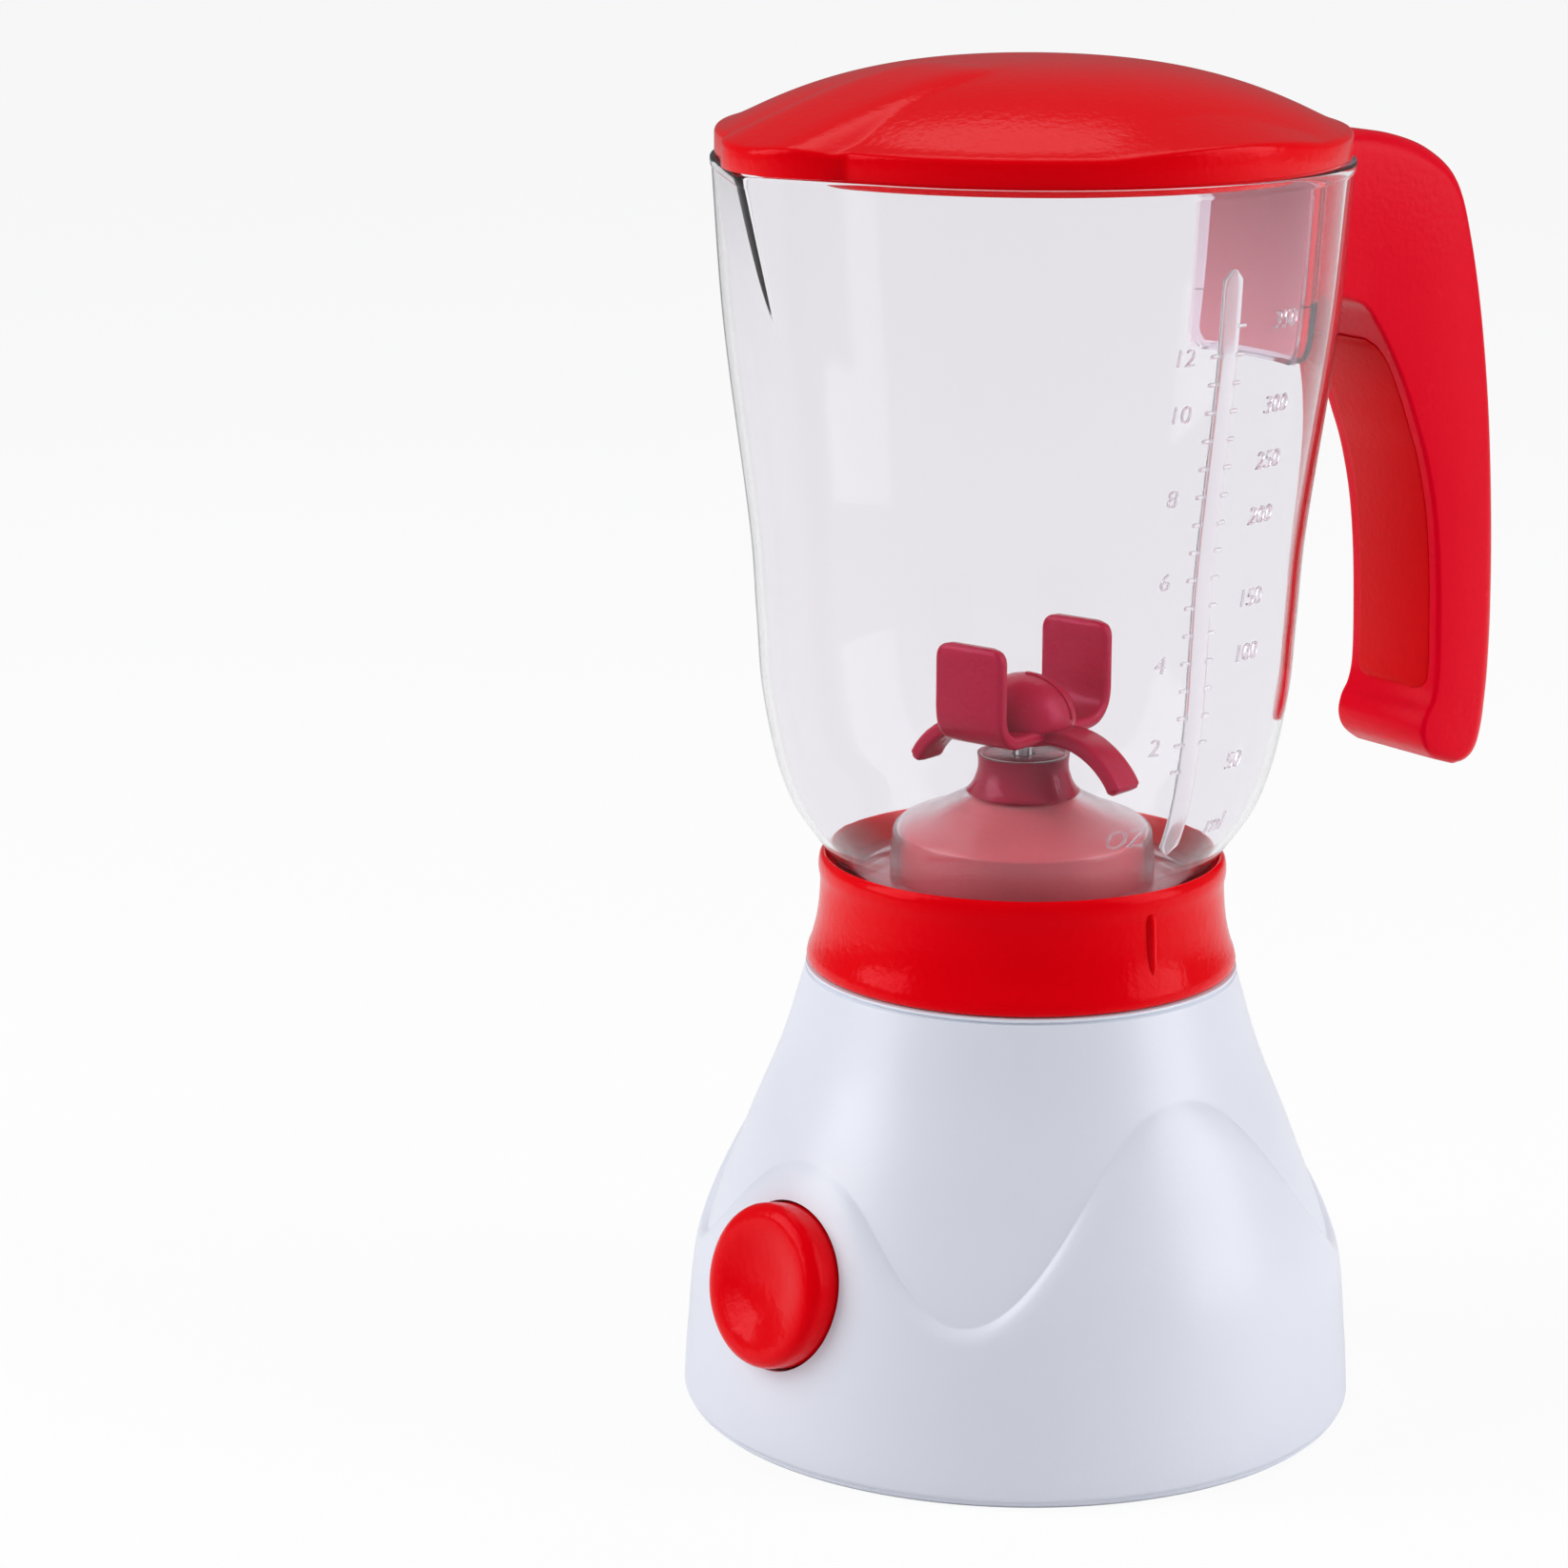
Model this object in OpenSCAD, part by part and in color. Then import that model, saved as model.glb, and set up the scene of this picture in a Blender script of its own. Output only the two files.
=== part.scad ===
// Toy blender: a battery-driven base, a clear jug with a spout and handle,
// a hinged lid, and a rotor that a small motor turns through two gear stages.
// The origin is the centre of the base on the table, +Z is up, the handle
// points along +X and the spout along -X. Sizes are millimetres.

/* [Base housing] */
// Radius of the base at the table
base_radius = 50; // [47:0.5:53]
// Height of the base housing, up to the collar
base_height = 67; // [64:0.5:70]
// Radius of the housing's top edge
base_top_radius = 31.6; // [31.2:0.1:33]
// Height where the lower drum ends
drum_height = 10; // [8:0.5:12]
// Radius of the housing at the shoulder
shoulder_radius = 46.4; // [45:0.1:47.5]
// Height of the shoulder
shoulder_height = 25; // [23:0.5:27]
// Radius of the housing half way up
waist_radius = 40.4; // [39:0.1:42]
// Height of that point
waist_height = 42; // [40:0.5:44]
// Radius of the housing below the collar
neck_radius = 35.3; // [34.5:0.1:36.5]
// Height of that point
neck_height = 54.6; // [53:0.2:57]
// Wall thickness of the housing
base_wall = 2; // [1.6:0.1:2.4]
// Thickness of the housing's top deck
deck_thickness = 2.5; // [2:0.1:3]
// Radius of the hole in the deck
deck_hole_radius = 16; // [14:0.5:18]

/* [Wave relief] */
// How far the wave stands proud of the housing
relief_depth = 1.3; // [0.8:0.1:1.8]
// Height of the wave over the button
button_hump = 43.5; // [42:0.5:46]
// Height of the wave's troughs
trough_height = 25.5; // [23:0.5:28]
// Height of the wave on the two sides
side_hump = 54; // [51:0.5:56]
// Angle from the button to the first trough
near_trough_angle = 38; // [34:1:42]
// Angle from the button to the side hump
side_hump_angle = 87; // [82:1:92]
// Angle from the button to the far trough
far_trough_angle = 135; // [130:1:140]

/* [Floor and batteries] */
// Thickness of the floor plate's rim
plate_rim = 1.2; // [1:0.1:1.6]
// Height of the floor plate's inner step
plate_thickness = 3; // [2.6:0.1:3.6]
// Diameter of one battery cell
cell_diameter = 14.5; // [14:0.1:14.8]
// Length of one battery cell
cell_length = 50.5; // [49.5:0.1:51.5]
// Thickness of the battery bay's walls
bay_wall = 1.3; // [1:0.1:1.6]
// Thickness of the battery door
door_thickness = 1.6; // [1.4:0.1:2]
// Radius of the self-tapping screws' shanks
screw_radius = 1.1; // [0.9:0.1:1.3]
// Radius of the screws' heads
screw_head_radius = 2.3; // [2:0.1:2.5]
// Distance of the base screws from the axis
base_screw_circle = 40.5; // [39.5:0.5:41.5]

/* [Button] */
// Direction of the button round the base
button_angle = 184; // [170:1:200]
// Height of the button's centre
button_height = 26.5; // [25.5:0.5:27.5]
// Upward tilt of the button
button_tilt = 12; // [8:1:16]
// Radius of the button
button_radius = 12.6; // [11.6:0.1:13]
// How far the button stands out of the housing
button_proud = 3.4; // [2.5:0.1:4.5]
// Travel of the button
button_travel = 3; // [2:0.1:3.2]

/* [Motor and gears] */
// Radius of the motor's can
motor_radius = 10; // [9:0.1:10.4]
// Width across the can's flats
motor_flats = 15.4; // [14.4:0.1:16]
// Gap between the battery bay and the motor's can
motor_clearance = 6.2; // [5:0.1:8]
// Size of the gear teeth, as pitch diameter over teeth
gear_module = 0.6; // [0.55:0.01:0.62]
// Teeth on the motor's pinion
pinion_teeth = 10; // [10:1:11]
// Teeth on the large wheel of the reduction gear
reduction_teeth = 30; // [28:1:31]
// Teeth on the small wheel of the reduction gear
idler_teeth = 12; // [11:1:13]
// Teeth on the output gear
output_teeth = 30; // [28:1:31]
// Distance of the gear frame's lower face below the housing's top
gearbox_drop = 20.3; // [20:0.1:21]
// Thickness of the gear frame and cover plates
frame_plate = 2; // [1.6:0.1:2.2]
// Radius of the drive shaft and the blade shaft
shaft_radius = 1.5; // [1.3:0.05:1.7]

/* [Collar and drive dome] */
// Radius of the collar's lower edge
collar_bottom_radius = 31.7; // [31.2:0.1:32.5]
// Radius of the collar's rolled lip
collar_lip_radius = 30; // [29.8:0.1:30.6]
// Radius of the collar's waist
collar_waist_radius = 29.75; // [29.6:0.05:30.2]
// Height of the collar above the deck
collar_height = 16.6; // [16:0.1:17.2]
// Height of the jug's seat above the deck
seat_rise = 12; // [11.5:0.1:12.4]
// Thickness of the drive dome
dome_wall = 1.4; // [1.1:0.1:1.6]
// Gap between the drive dome and the jug's dome
dome_gap = 0.5; // [0.4:0.05:0.7]

/* [Jug] */
// Height of the jug, seat to rim
jug_height = 106.8; // [104:0.5:111]
// Wall thickness of the jug
jug_wall = 1.3; // [1:0.1:1.5]
// Thickness of the jug's floor and dome
jug_floor = 1.2; // [1:0.1:1.4]
// Radius of the jug's foot
jug_foot_radius = 27.2; // [26.5:0.1:27.5]
// Radius of the jug where it swells out of the collar
jug_heel_radius = 34.8; // [34:0.1:35.6]
// Radius of the jug's lower body
jug_body_radius = 39.6; // [38.6:0.1:40.4]
// Radius of the jug's shoulder
jug_shoulder_radius = 44.4; // [43.6:0.1:45]
// Radius of the jug's rim
jug_rim_radius = 45.8; // [45.4:0.1:46.6]
// How far the rim's bead stands proud
rim_bead = 0.2; // [0.1:0.05:0.4]
// Distance of the spout's tip from the axis
spout_reach = 50.8; // [49.5:0.1:52]
// Height of the spout, from its keel to the rim
spout_height = 25.5; // [22:0.5:30]
// Radius of the spout's rounded tip
spout_round = 2.4; // [1.8:0.1:3]
// Radius of the dome's skirt inside the jug
dome_skirt_radius = 19.5; // [18.8:0.1:20.2]
// Radius of the dome's neck
dome_neck_radius = 6.8; // [6.5:0.1:7.2]
// Height of the dome's neck above the seat
dome_neck_height = 19.4; // [18.6:0.1:20.2]
// Direction of the raised scale bar
scale_angle = -88; // [-100:1:-80]
// Width of the scale bar
scale_width = 2.8; // [2:0.1:3.4]

/* [Rotor] */
// Gap between the dome's neck and the rotor
rotor_gap = 2.1; // [1.5:0.1:2.6]
// Radius of the rotor's hub
hub_radius = 7.6; // [7:0.1:8]
// Distance of the upright blades from the axis
blade_reach = 14; // [12.5:0.1:15]
// Width of the upright blades
blade_width = 12; // [10:0.1:13]
// Height of the upright blades above the rotor's bottom
blade_height = 16; // [14:0.2:18]
// Thickness of the blades
blade_thickness = 2; // [1.6:0.1:2.4]
// Reach of the curved lower arms
arm_reach = 19.5; // [18:0.1:20.5]
// Width of the lower arms
arm_width = 6; // [5:0.1:7]
// Drop of the lower arms' tips
arm_drop = 6.2; // [5:0.1:6.6]
// Direction of the upright blades at rest
rotor_angle = 15.5; // [0:0.5:180]

/* [Handle] */
// Width of the handle
handle_width = 20; // [18:0.2:22]
// Reach of the handle's outer edge from the axis
handle_reach = 85.8; // [84:0.2:88]
// Depth of the grip, outer edge to inner edge
grip_depth = 13; // [12:0.1:14]
// Wall thickness of the handle's shell
handle_wall = 2; // [1.6:0.1:2.4]
// Width of the pocket on the jug that takes the handle
pocket_width = 26; // [24:0.2:28]
// Length of that pocket
pocket_length = 33; // [30:0.5:35]

/* [Lid] */
// Height of the lid's crown above the rim
lid_crown = 13.6; // [12:0.1:15]
// Wall thickness of the lid
lid_wall = 1.6; // [1.3:0.1:2]
// Step from the rim's edge in to the lid's edge
lid_step = 0.5; // [0.3:0.05:0.8]
// Depth of the lid's lip inside the jug
lip_depth = 3; // [2:0.1:4]
// Distance of the lid's hinge from the axis
hinge_reach = 52; // [51.8:0.1:52.6]
// Radius of the hinge's knuckles
knuckle_radius = 1.8; // [1.6:0.1:2]
// Radius of the hinge pin
hinge_pin_radius = 0.8; // [0.6:0.05:0.9]

/* [Fits] */
// Radial clearance of a running shaft
running_fit = 0.05; // [0.03:0.01:0.08]
// Clearance of parts that slide or lift off
slide_fit = 0.3; // [0.25:0.05:0.4]

/* [Hidden] */
$fn = 72;
tiny = 0.01;
columns = 72;

// Colours
white_shell = [0.93, 0.94, 0.97];
red_plastic = [0.88, 0.02, 0.07];
crimson = [0.62, 0.03, 0.18];
clear_plastic = [0.88, 0.91, 0.94, 0.45];
steel = [0.7, 0.71, 0.73];
brass = [0.8, 0.66, 0.35];
gear_nylon = [0.92, 0.9, 0.84];
dark_plastic = [0.2, 0.2, 0.22];

// Heights that several pieces share
frame_height = base_height - gearbox_drop;
bay_top = door_thickness + 0.2 + cell_diameter + 0.4;
motor_length = frame_height - bay_top - bay_wall - motor_clearance;
seat_height = base_height + seat_rise;
rim_height = seat_height + jug_height;
frame_top = frame_height + frame_plate;
bush_top = seat_height + dome_neck_height - 0.4;
rotor_bottom = seat_height + dome_neck_height + rotor_gap;

// ---------------------------------------------------------------- helpers

// Index of the span of profile p, a list of [radius, height], that holds z
function span_of(p, z, i = 0) =
    (i >= len(p) - 2 || z <= p[i + 1][1]) ? i : span_of(p, z, i + 1);

// Slope of a profile at its point i
function slope_at(p, i) =
    let(a = max(i - 1, 0), b = min(i + 1, len(p) - 1))
    (p[b][0] - p[a][0]) / (p[b][1] - p[a][1]);

// Radius of a smooth profile at height z
function radius_at(p, z) =
    let(i = span_of(p, z), h = p[i + 1][1] - p[i][1], t = (z - p[i][1]) / h)
    (2*t*t*t - 3*t*t + 1) * p[i][0] + (t*t*t - 2*t*t + t) * slope_at(p, i) * h
    + (3*t*t - 2*t*t*t) * p[i + 1][0] + (t*t*t - t*t) * slope_at(p, i + 1) * h;

// Points of profile p from height a to height b, moved out by grow
function profile_points(p, a, b, steps, grow = 0) =
    [for (k = [0:steps]) let(z = a + (b - a) * k / steps) [radius_at(p, z) + grow, z]];

function reverse(p) = [for (i = [len(p) - 1:-1:0]) p[i]];

// Point of a smooth curve through the list p, at span i and fraction t
function curve_point(p, i, t) =
    let(a = p[max(i - 1, 0)], b = p[i], c = p[i + 1], d = p[min(i + 2, len(p) - 1)])
    0.5 * (2*b + (c - a)*t + (2*a - 5*b + 4*c - d)*t*t + (3*b - a - 3*c + d)*t*t*t);

function smooth_curve(p, steps) =
    [for (i = [0:len(p) - 2]) for (k = [0:steps - 1]) curve_point(p, i, k / steps),
     p[len(p) - 1]];

// An open 2D line moved sideways by d, to the right of its direction
function move_line(p, d) =
    [for (i = [0:len(p) - 1])
        let(t = p[min(i + 1, len(p) - 1)] - p[max(i - 1, 0)]) p[i] + d * [t[1], -t[0]] / norm(t)];

// Closed skin over a stack of rings, with a pole point at each end
module skin(rings, start, end) {
    n = len(rings[0]);
    m = len(rings);
    polyhedron(
        points = concat([for (r = rings) for (q = r) q], [start, end]),
        faces = concat(
            [for (i = [0:n - 1]) [m * n, i, (i + 1) % n]],
            [for (j = [0:m - 2]) for (i = [0:n - 1])
                [j*n + i, (j + 1)*n + i, (j + 1)*n + (i + 1) % n]],
            [for (j = [0:m - 2]) for (i = [0:n - 1])
                [j*n + i, (j + 1)*n + (i + 1) % n, j*n + (i + 1) % n]],
            [for (i = [0:n - 1]) [m*n + 1, (m - 1)*n + (i + 1) % n, (m - 1)*n + i]]));
}

module tube(inner, outer, height) {
    difference() {
        cylinder(r = outer, h = height);
        translate([0, 0, -1]) cylinder(r = inner, h = height + 2);
    }
}

// Self-tapping screw: head below z = 0, shank up
module screw(length) {
    difference() {
        translate([0, 0, -1.5]) cylinder(r = screw_head_radius - 0.2, h = 1.5, $fn = 32);
        translate([-1.4, -0.3, -1.6]) cube([2.8, 0.6, 0.9]);
        translate([-0.3, -1.4, -1.6]) cube([0.6, 2.8, 0.9]);
    }
    cylinder(r = screw_radius, h = length, $fn = 32);
}

// Rounded bar outline: a square with a half circle on each end
module stadium(length, width) {
    square([length - width, width], center = true);
    for (side = [-1, 1]) translate([side * (length - width) / 2, 0]) circle(d = width, $fn = 32);
}

// Box with rounded upright corners, centred in X and Y
module rounded_box(size, radius) {
    for (cut = [0, 1])
        translate([cut * radius - size[0] / 2, (1 - cut) * radius - size[1] / 2, 0])
            cube([size[0] - 2 * cut * radius, size[1] - 2 * (1 - cut) * radius, size[2]]);
    for (sx = [-1, 1]) for (sy = [-1, 1])
        translate([sx * (size[0] / 2 - radius), sy * (size[1] / 2 - radius), 0])
            cylinder(r = radius, h = size[2], $fn = 32);
}

// ------------------------------------------------------------------- base

base_profile = [
    [base_radius - relief_depth, 0],
    [base_radius - relief_depth - 0.6, drum_height],
    [shoulder_radius, shoulder_height],
    [waist_radius, waist_height],
    [neck_radius, neck_height],
    [base_top_radius, base_height]];

// Rise of the wave from a trough, t = 0, to a hump, t = 1
function swell(t) = (1 - cos(180 * t)) / 2 + 0.12 * pow(sin(180 * t), 2);

// Angle round the base from the button, 0 to 180
function from_button(angle) = abs((angle - button_angle + 900) % 360 - 180);

// How far up the wave's hump a direction lies, 0 in a trough and 1 on a crest
function hump_share(angle) =
    let(d = from_button(angle))
    d < near_trough_angle ? swell(1 - d / near_trough_angle) :
    d < side_hump_angle ? swell((d - near_trough_angle) / (side_hump_angle - near_trough_angle)) :
    d < far_trough_angle ? swell((far_trough_angle - d) / (far_trough_angle - side_hump_angle)) :
    swell((d - far_trough_angle) / (180 - far_trough_angle));

// Height of the wave's upper edge in a direction
function wave_height(angle) =
    let(d = from_button(angle),
        crest = (d < near_trough_angle || d > far_trough_angle) ? button_hump : side_hump)
    trough_height + (crest - trough_height) * hump_share(angle);

// Rows of the housing's outside in one direction: [height, share of the relief]
lower_rows = 4;
upper_rows = 7;
fillet_rows = [[1, 1], [0.7, 0.95], [0.4, 0.76], [0.17, 0.45], [0, 0]];
function housing_rows(angle) =
    let(edge = wave_height(angle), depth = 2.7 + 3 * hump_share(angle))
    concat(
        [[plate_rim, 0.75], [plate_rim + 0.5, 0.97]],
        [for (k = [1:lower_rows - 1])
            [plate_rim + 0.5 + (edge - depth - plate_rim - 0.5) * k / lower_rows, 1]],
        [for (f = fillet_rows) [edge - depth * f[0], f[1]]],
        [for (k = [1:upper_rows]) [edge + (base_height - edge) * k / upper_rows, 0]]);

function housing_ring(row) =
    [for (i = [0:columns - 1])
        let(angle = 360 * i / columns, at = housing_rows(angle)[row],
            r = radius_at(base_profile, at[0]) + relief_depth * at[1])
        [r * cos(angle), r * sin(angle), at[0]]];

row_count = len(housing_rows(0));

module housing_outside() {
    skin([for (row = [0:row_count - 1]) housing_ring(row)], [0, 0, plate_rim], [0, 0, base_height]);
}

base_boss_radius = screw_head_radius + 1.2;
base_screw_angles = [50, 135, 270];
base_screw_length = 10;

// Places a child at each base screw
module at_base_screws() {
    for (angle = base_screw_angles) rotate(angle) translate([base_screw_circle, 0, 0]) children();
}

gearbox_screw_circle = 23.5;
gearbox_screw_angles = [40, 182, 290];
post_radius = screw_radius + 1.3;
gearbox_screw_bite = 3;

module at_gearbox_screws() {
    for (angle = gearbox_screw_angles)
        rotate(angle) translate([gearbox_screw_circle, 0, 0]) children();
}

// The button's own frame: +Z points out of the housing, z = 0 on its surface
module button_frame() {
    rotate(button_angle)
        translate([radius_at(base_profile, button_height) + relief_depth, 0, button_height])
            rotate([0, 90 - button_tilt, 0]) children();
}

button_flange = 0.7;
button_stop = -4;
flange_thickness = 1.4;
guide_front = button_stop - flange_thickness - button_travel - 0.6;
guide_thickness = 1.5;
well_radius = button_radius + button_flange + slide_fit;

module base_cavity() {
    rotate_extrude($fn = 96)
        polygon(concat(
            [[0, -1], [radius_at(base_profile, 0) - base_wall + relief_depth, -1]],
            profile_points(base_profile, plate_rim, base_height - deck_thickness, 14, -base_wall),
            [[0, base_height - deck_thickness]]));
}

module base_housing() {
    color(white_shell) difference() {
        housing_outside();
        difference() {
            base_cavity();
            at_base_screws() translate([0, 0, plate_thickness])
                cylinder(r = base_boss_radius, h = base_height, $fn = 32);
            button_frame() translate([0, 0, guide_front - guide_thickness])
                cylinder(r = well_radius + 1.5, h = base_radius);
            at_gearbox_screws() translate([0, 0, cover_top])
                cylinder(r = post_radius, h = base_height, $fn = 32);
        }
        translate([0, 0, base_height - deck_thickness - 1])
            cylinder(r = deck_hole_radius, h = deck_thickness + 2);
        button_frame() translate([0, 0, button_stop - base_radius / 2])
            cylinder(r = well_radius, h = base_radius / 2);
        button_frame() translate([0, 0, button_stop - 1])
            cylinder(r = button_radius + slide_fit, h = base_radius / 2);
        at_base_screws() translate([0, 0, plate_thickness - 1])
            cylinder(r = screw_radius + 0.02, h = base_screw_length + 1, $fn = 32);
        at_gearbox_screws() translate([0, 0, cover_top - 1])
            cylinder(r = screw_radius + 0.02, h = gearbox_screw_bite + 1.5, $fn = 32);
    }
}

// Battery bay, along X, open below
bay_length = cell_length + 3.4;
bay_width = 2 * cell_diameter + 2;
door_length = bay_length + 2 * bay_wall + 3;
door_width = bay_width + 2 * bay_wall + 2;
door_screw_x = door_length / 2 + 2.4;
door_tab_width = 8;

// Outline of the battery door and, grown by a fit, of the hole for it
module door_outline(grow, height) {
    translate([-door_length / 2 - grow, -door_width / 2 - grow, 0])
        cube([door_length + 2 * grow, door_width + 2 * grow, height]);
    translate([door_length / 2 - 1, -door_tab_width / 2 - grow, 0])
        cube([door_screw_x - door_length / 2 + 1, door_tab_width + 2 * grow, height]);
    translate([door_screw_x, 0, 0]) cylinder(r = door_tab_width / 2 + grow, h = height);
}

plate_step_radius = base_radius - base_wall - relief_depth - 1;

module bottom_plate() {
    color(white_shell) difference() {
        union() {
            rotate_extrude($fn = 96)
                polygon([[0, 0], [base_radius - 1.3, 0], [base_radius - 0.7, 0.5],
                         [base_radius - 0.7, plate_rim], [plate_step_radius, plate_rim],
                         [plate_step_radius, plate_thickness], [0, plate_thickness]]);
            translate([-bay_length / 2 - bay_wall, -bay_width / 2 - bay_wall, plate_rim])
                cube([bay_length + 2 * bay_wall, bay_width + 2 * bay_wall,
                      bay_top + bay_wall - plate_rim]);
            translate([door_screw_x, 0, door_thickness])
                cylinder(r = screw_radius + 1.5, h = 6, $fn = 32);
        }
        translate([-bay_length / 2, -bay_width / 2, -1]) cube([bay_length, bay_width, bay_top + 1]);
        translate([0, 0, -1]) door_outline(0.2, 1 + door_thickness);
        translate([door_screw_x, 0, 0]) cylinder(r = screw_radius + 0.02, h = 7, $fn = 32);
        at_base_screws() translate([0, 0, -1]) {
            cylinder(r = screw_radius + 0.2, h = plate_thickness + 2, $fn = 32);
            cylinder(r = screw_head_radius, h = 2.6, $fn = 32);
        }
    }
}

module battery_door() {
    color(white_shell) difference() {
        union() {
            door_outline(0, door_thickness);
            translate([-door_length / 2 + 4, -9, door_thickness - tiny])
                cube([1.2, 18, 0.2]);
        }
        translate([door_screw_x, 0, -1]) cylinder(r = screw_radius + 0.2, h = 5, $fn = 32);
        translate([door_screw_x, 0, -1]) cylinder(r = screw_head_radius, h = 1.6, $fn = 32);
        for (k = [-2:2]) translate([-door_length / 2 + 7 + k * 1.8, -7, -1])
            cube([0.7, 14, 1.4]);
    }
}

module battery_door_screw() {
    color(steel) translate([door_screw_x, 0, 0.6]) difference() {
        translate([0, 0, -0.5]) screw(5.6);
        translate([-3, -3, -3]) cube([6, 6, 2.5]);
    }
}

module base_screws() {
    color(steel) at_base_screws() translate([0, 0, 1.6]) screw(base_screw_length);
}

module battery_cells() {
    color(brass) for (side = [-1, 1])
        translate([side * 0.6, side * (cell_diameter + 0.6) / 2,
                   door_thickness + 0.2 + cell_diameter / 2])
            rotate([0, 90 * side, 0]) {
                translate([0, 0, -cell_length / 2]) cylinder(d = cell_diameter, h = cell_length - 1);
                translate([0, 0, cell_length / 2 - 1]) cylinder(r = 2.6, h = 1, $fn = 32);
            }
}

contact_thickness = 0.4;

// Strip across one end of the bay, with a cone that presses each cell
module battery_contacts() {
    color(brass) for (side = [-1, 1]) {
        translate([side > 0 ? bay_length / 2 - contact_thickness : -bay_length / 2,
                   -bay_width / 2 + 0.5, door_thickness + 1.2])
            cube([contact_thickness, bay_width - 1, cell_diameter - 2]);
        translate([side * (bay_length / 2 - contact_thickness), -side * (cell_diameter + 0.6) / 2,
                   door_thickness + 0.2 + cell_diameter / 2])
            rotate([0, -90 * side, 0]) cylinder(r1 = 4, r2 = 2, h = 1.7, $fn = 32);
    }
}

// ----------------------------------------------------------------- button

module power_button() {
    color(red_plastic) button_frame() rotate_extrude($fn = 96)
        polygon(concat(
            [[0, button_proud - 2.4], [0, button_proud - 0.9]],
            [for (k = [1:6]) let(r = (button_radius - 3) * k / 6)
                [r, button_proud - 0.9 * pow(cos(90 * k / 6), 2)]],
            [for (a = [75:-15:0]) [button_radius - 1.8 + 1.8 * cos(a), button_proud - 1.8 + 1.8 * sin(a)]],
            [[button_radius, button_stop],
             [button_radius + button_flange, button_stop],
             [button_radius + button_flange, button_stop - flange_thickness],
             [button_radius - 1.6, button_stop - flange_thickness],
             [button_radius - 1.6, button_proud - 2.8],
             [2.6, button_proud - 2.4],
             [2.6, stem_end], [0, stem_end]]));
}

stem_end = guide_front - guide_thickness - 1.4;
guide_hole = 2.6 + slide_fit;

// Disc that closes the button's well and guides its stem
module button_guide() {
    color(white_shell) button_frame() translate([0, 0, guide_front - guide_thickness]) {
        tube(guide_hole, well_radius - 0.05, guide_thickness);
        translate([0, 0, guide_thickness - tiny]) tube(guide_hole, guide_hole + 0.8, 2);
        for (side = [-1, 1]) translate([side > 0 ? switch_half + 0.05 : -switch_half - 1.25, -4, -7.5])
            cube([1.2, 8, 7.5 + tiny]);
    }
}

spring_coil_radius = 5.2;
spring_wire = 0.45;
spring_turns = 5;
spring_sides = 6;
spring_steps = 12;
spring_low = guide_front + spring_wire + 0.02;
spring_high = button_proud - 2.8 - spring_wire - 0.02;

// Return spring between the guide and the button, one unbroken wire
module button_spring() {
    steps = spring_turns * spring_steps;
    rings = [for (i = [0:steps])
        let(a = 360 * i / spring_steps, z = spring_low + (spring_high - spring_low) * i / steps)
        [for (k = [0:spring_sides - 1])
            let(b = 360 * k / spring_sides, r = spring_coil_radius + spring_wire * cos(b))
            [r * cos(a), r * sin(a), z + spring_wire * sin(b)]]];
    first = [spring_coil_radius, 0, spring_low];
    color(steel) button_frame() skin([for (r = rings) reverse(r)], first,
        [spring_coil_radius * cos(360 * spring_turns), spring_coil_radius * sin(360 * spring_turns),
         spring_high]);
}

switch_front = stem_end - button_travel - 0.4;
switch_half = 3.75;
switch_depth = 4.9;

module switch_body() {
    color(dark_plastic) button_frame() difference() {
        translate([-switch_half, -3, switch_front - switch_depth])
            cube([2 * switch_half, 6, switch_depth]);
        translate([0, 0, switch_front - switch_depth + 0.5])
            cylinder(r = 1.4, h = switch_depth + 1, $fn = 32);
    }
}

module switch_plunger() {
    color(red_plastic) button_frame() translate([0, 0, switch_front - 1])
        cylinder(r = 1.2, h = stem_end - switch_front + 1, $fn = 32);
}

// ----------------------------------------------------- motor and gear train

mesh_gap = 0.1;
idler_distance = gear_module * (output_teeth + idler_teeth) / 2 + mesh_gap;
motor_distance = gear_module * (reduction_teeth + pinion_teeth) / 2 + mesh_gap;
idler_direction = 90;
motor_direction = -150;
idler_place = idler_distance * [cos(idler_direction), sin(idler_direction)];
motor_place = idler_place + motor_distance * [cos(motor_direction), sin(motor_direction)];
motor_shaft_radius = 1;
axle_radius = 1;
lower_gear_base = frame_top + 0.8;
lower_gear_face = 3;
upper_gear_face = 3.4;
upper_gear_base = lower_gear_base + lower_gear_face + 1.1;
cover_bottom = upper_gear_base + upper_gear_face + 1.6;
cover_top = cover_bottom + frame_plate;
frame_radius = gearbox_screw_circle + post_radius + 0.8;

// Involute angle of a flank at radius r, in degrees
function involute(base, r) = let(t = sqrt(max(pow(r / base, 2) - 1, 0))) t * 180 / PI - atan(t);

// Outline of a spur gear with one tooth centred on the direction phase
function gear_outline(teeth, phase) =
    let(pitch = gear_module * teeth / 2, base = pitch * cos(20),
        root = pitch - 1.2 * gear_module, tip = pitch + 0.85 * gear_module,
        low = max(root + 0.02, base),
        half = 90 / teeth * 0.84 + involute(base, pitch),
        radii = [root, low, (low + pitch) / 2, pitch, (pitch + tip) / 2, tip],
        flank = [for (r = radii) [r, half - involute(base, max(r, low))]])
    [for (k = [0:teeth - 1]) for (side = [-1, 1]) for (i = [0:len(flank) - 1])
        let(f = flank[side < 0 ? i : len(flank) - 1 - i],
            a = phase + 360 * k / teeth + side * f[1])
        f[0] * [cos(a), sin(a)]];

// Phase that puts a gear's teeth in the gaps of the gear it meets
function mesh_phase(teeth, phase, direction, other_teeth) =
    direction + 180 - (0.5 - (direction - phase) * teeth / 360) * 360 / other_teeth;

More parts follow.
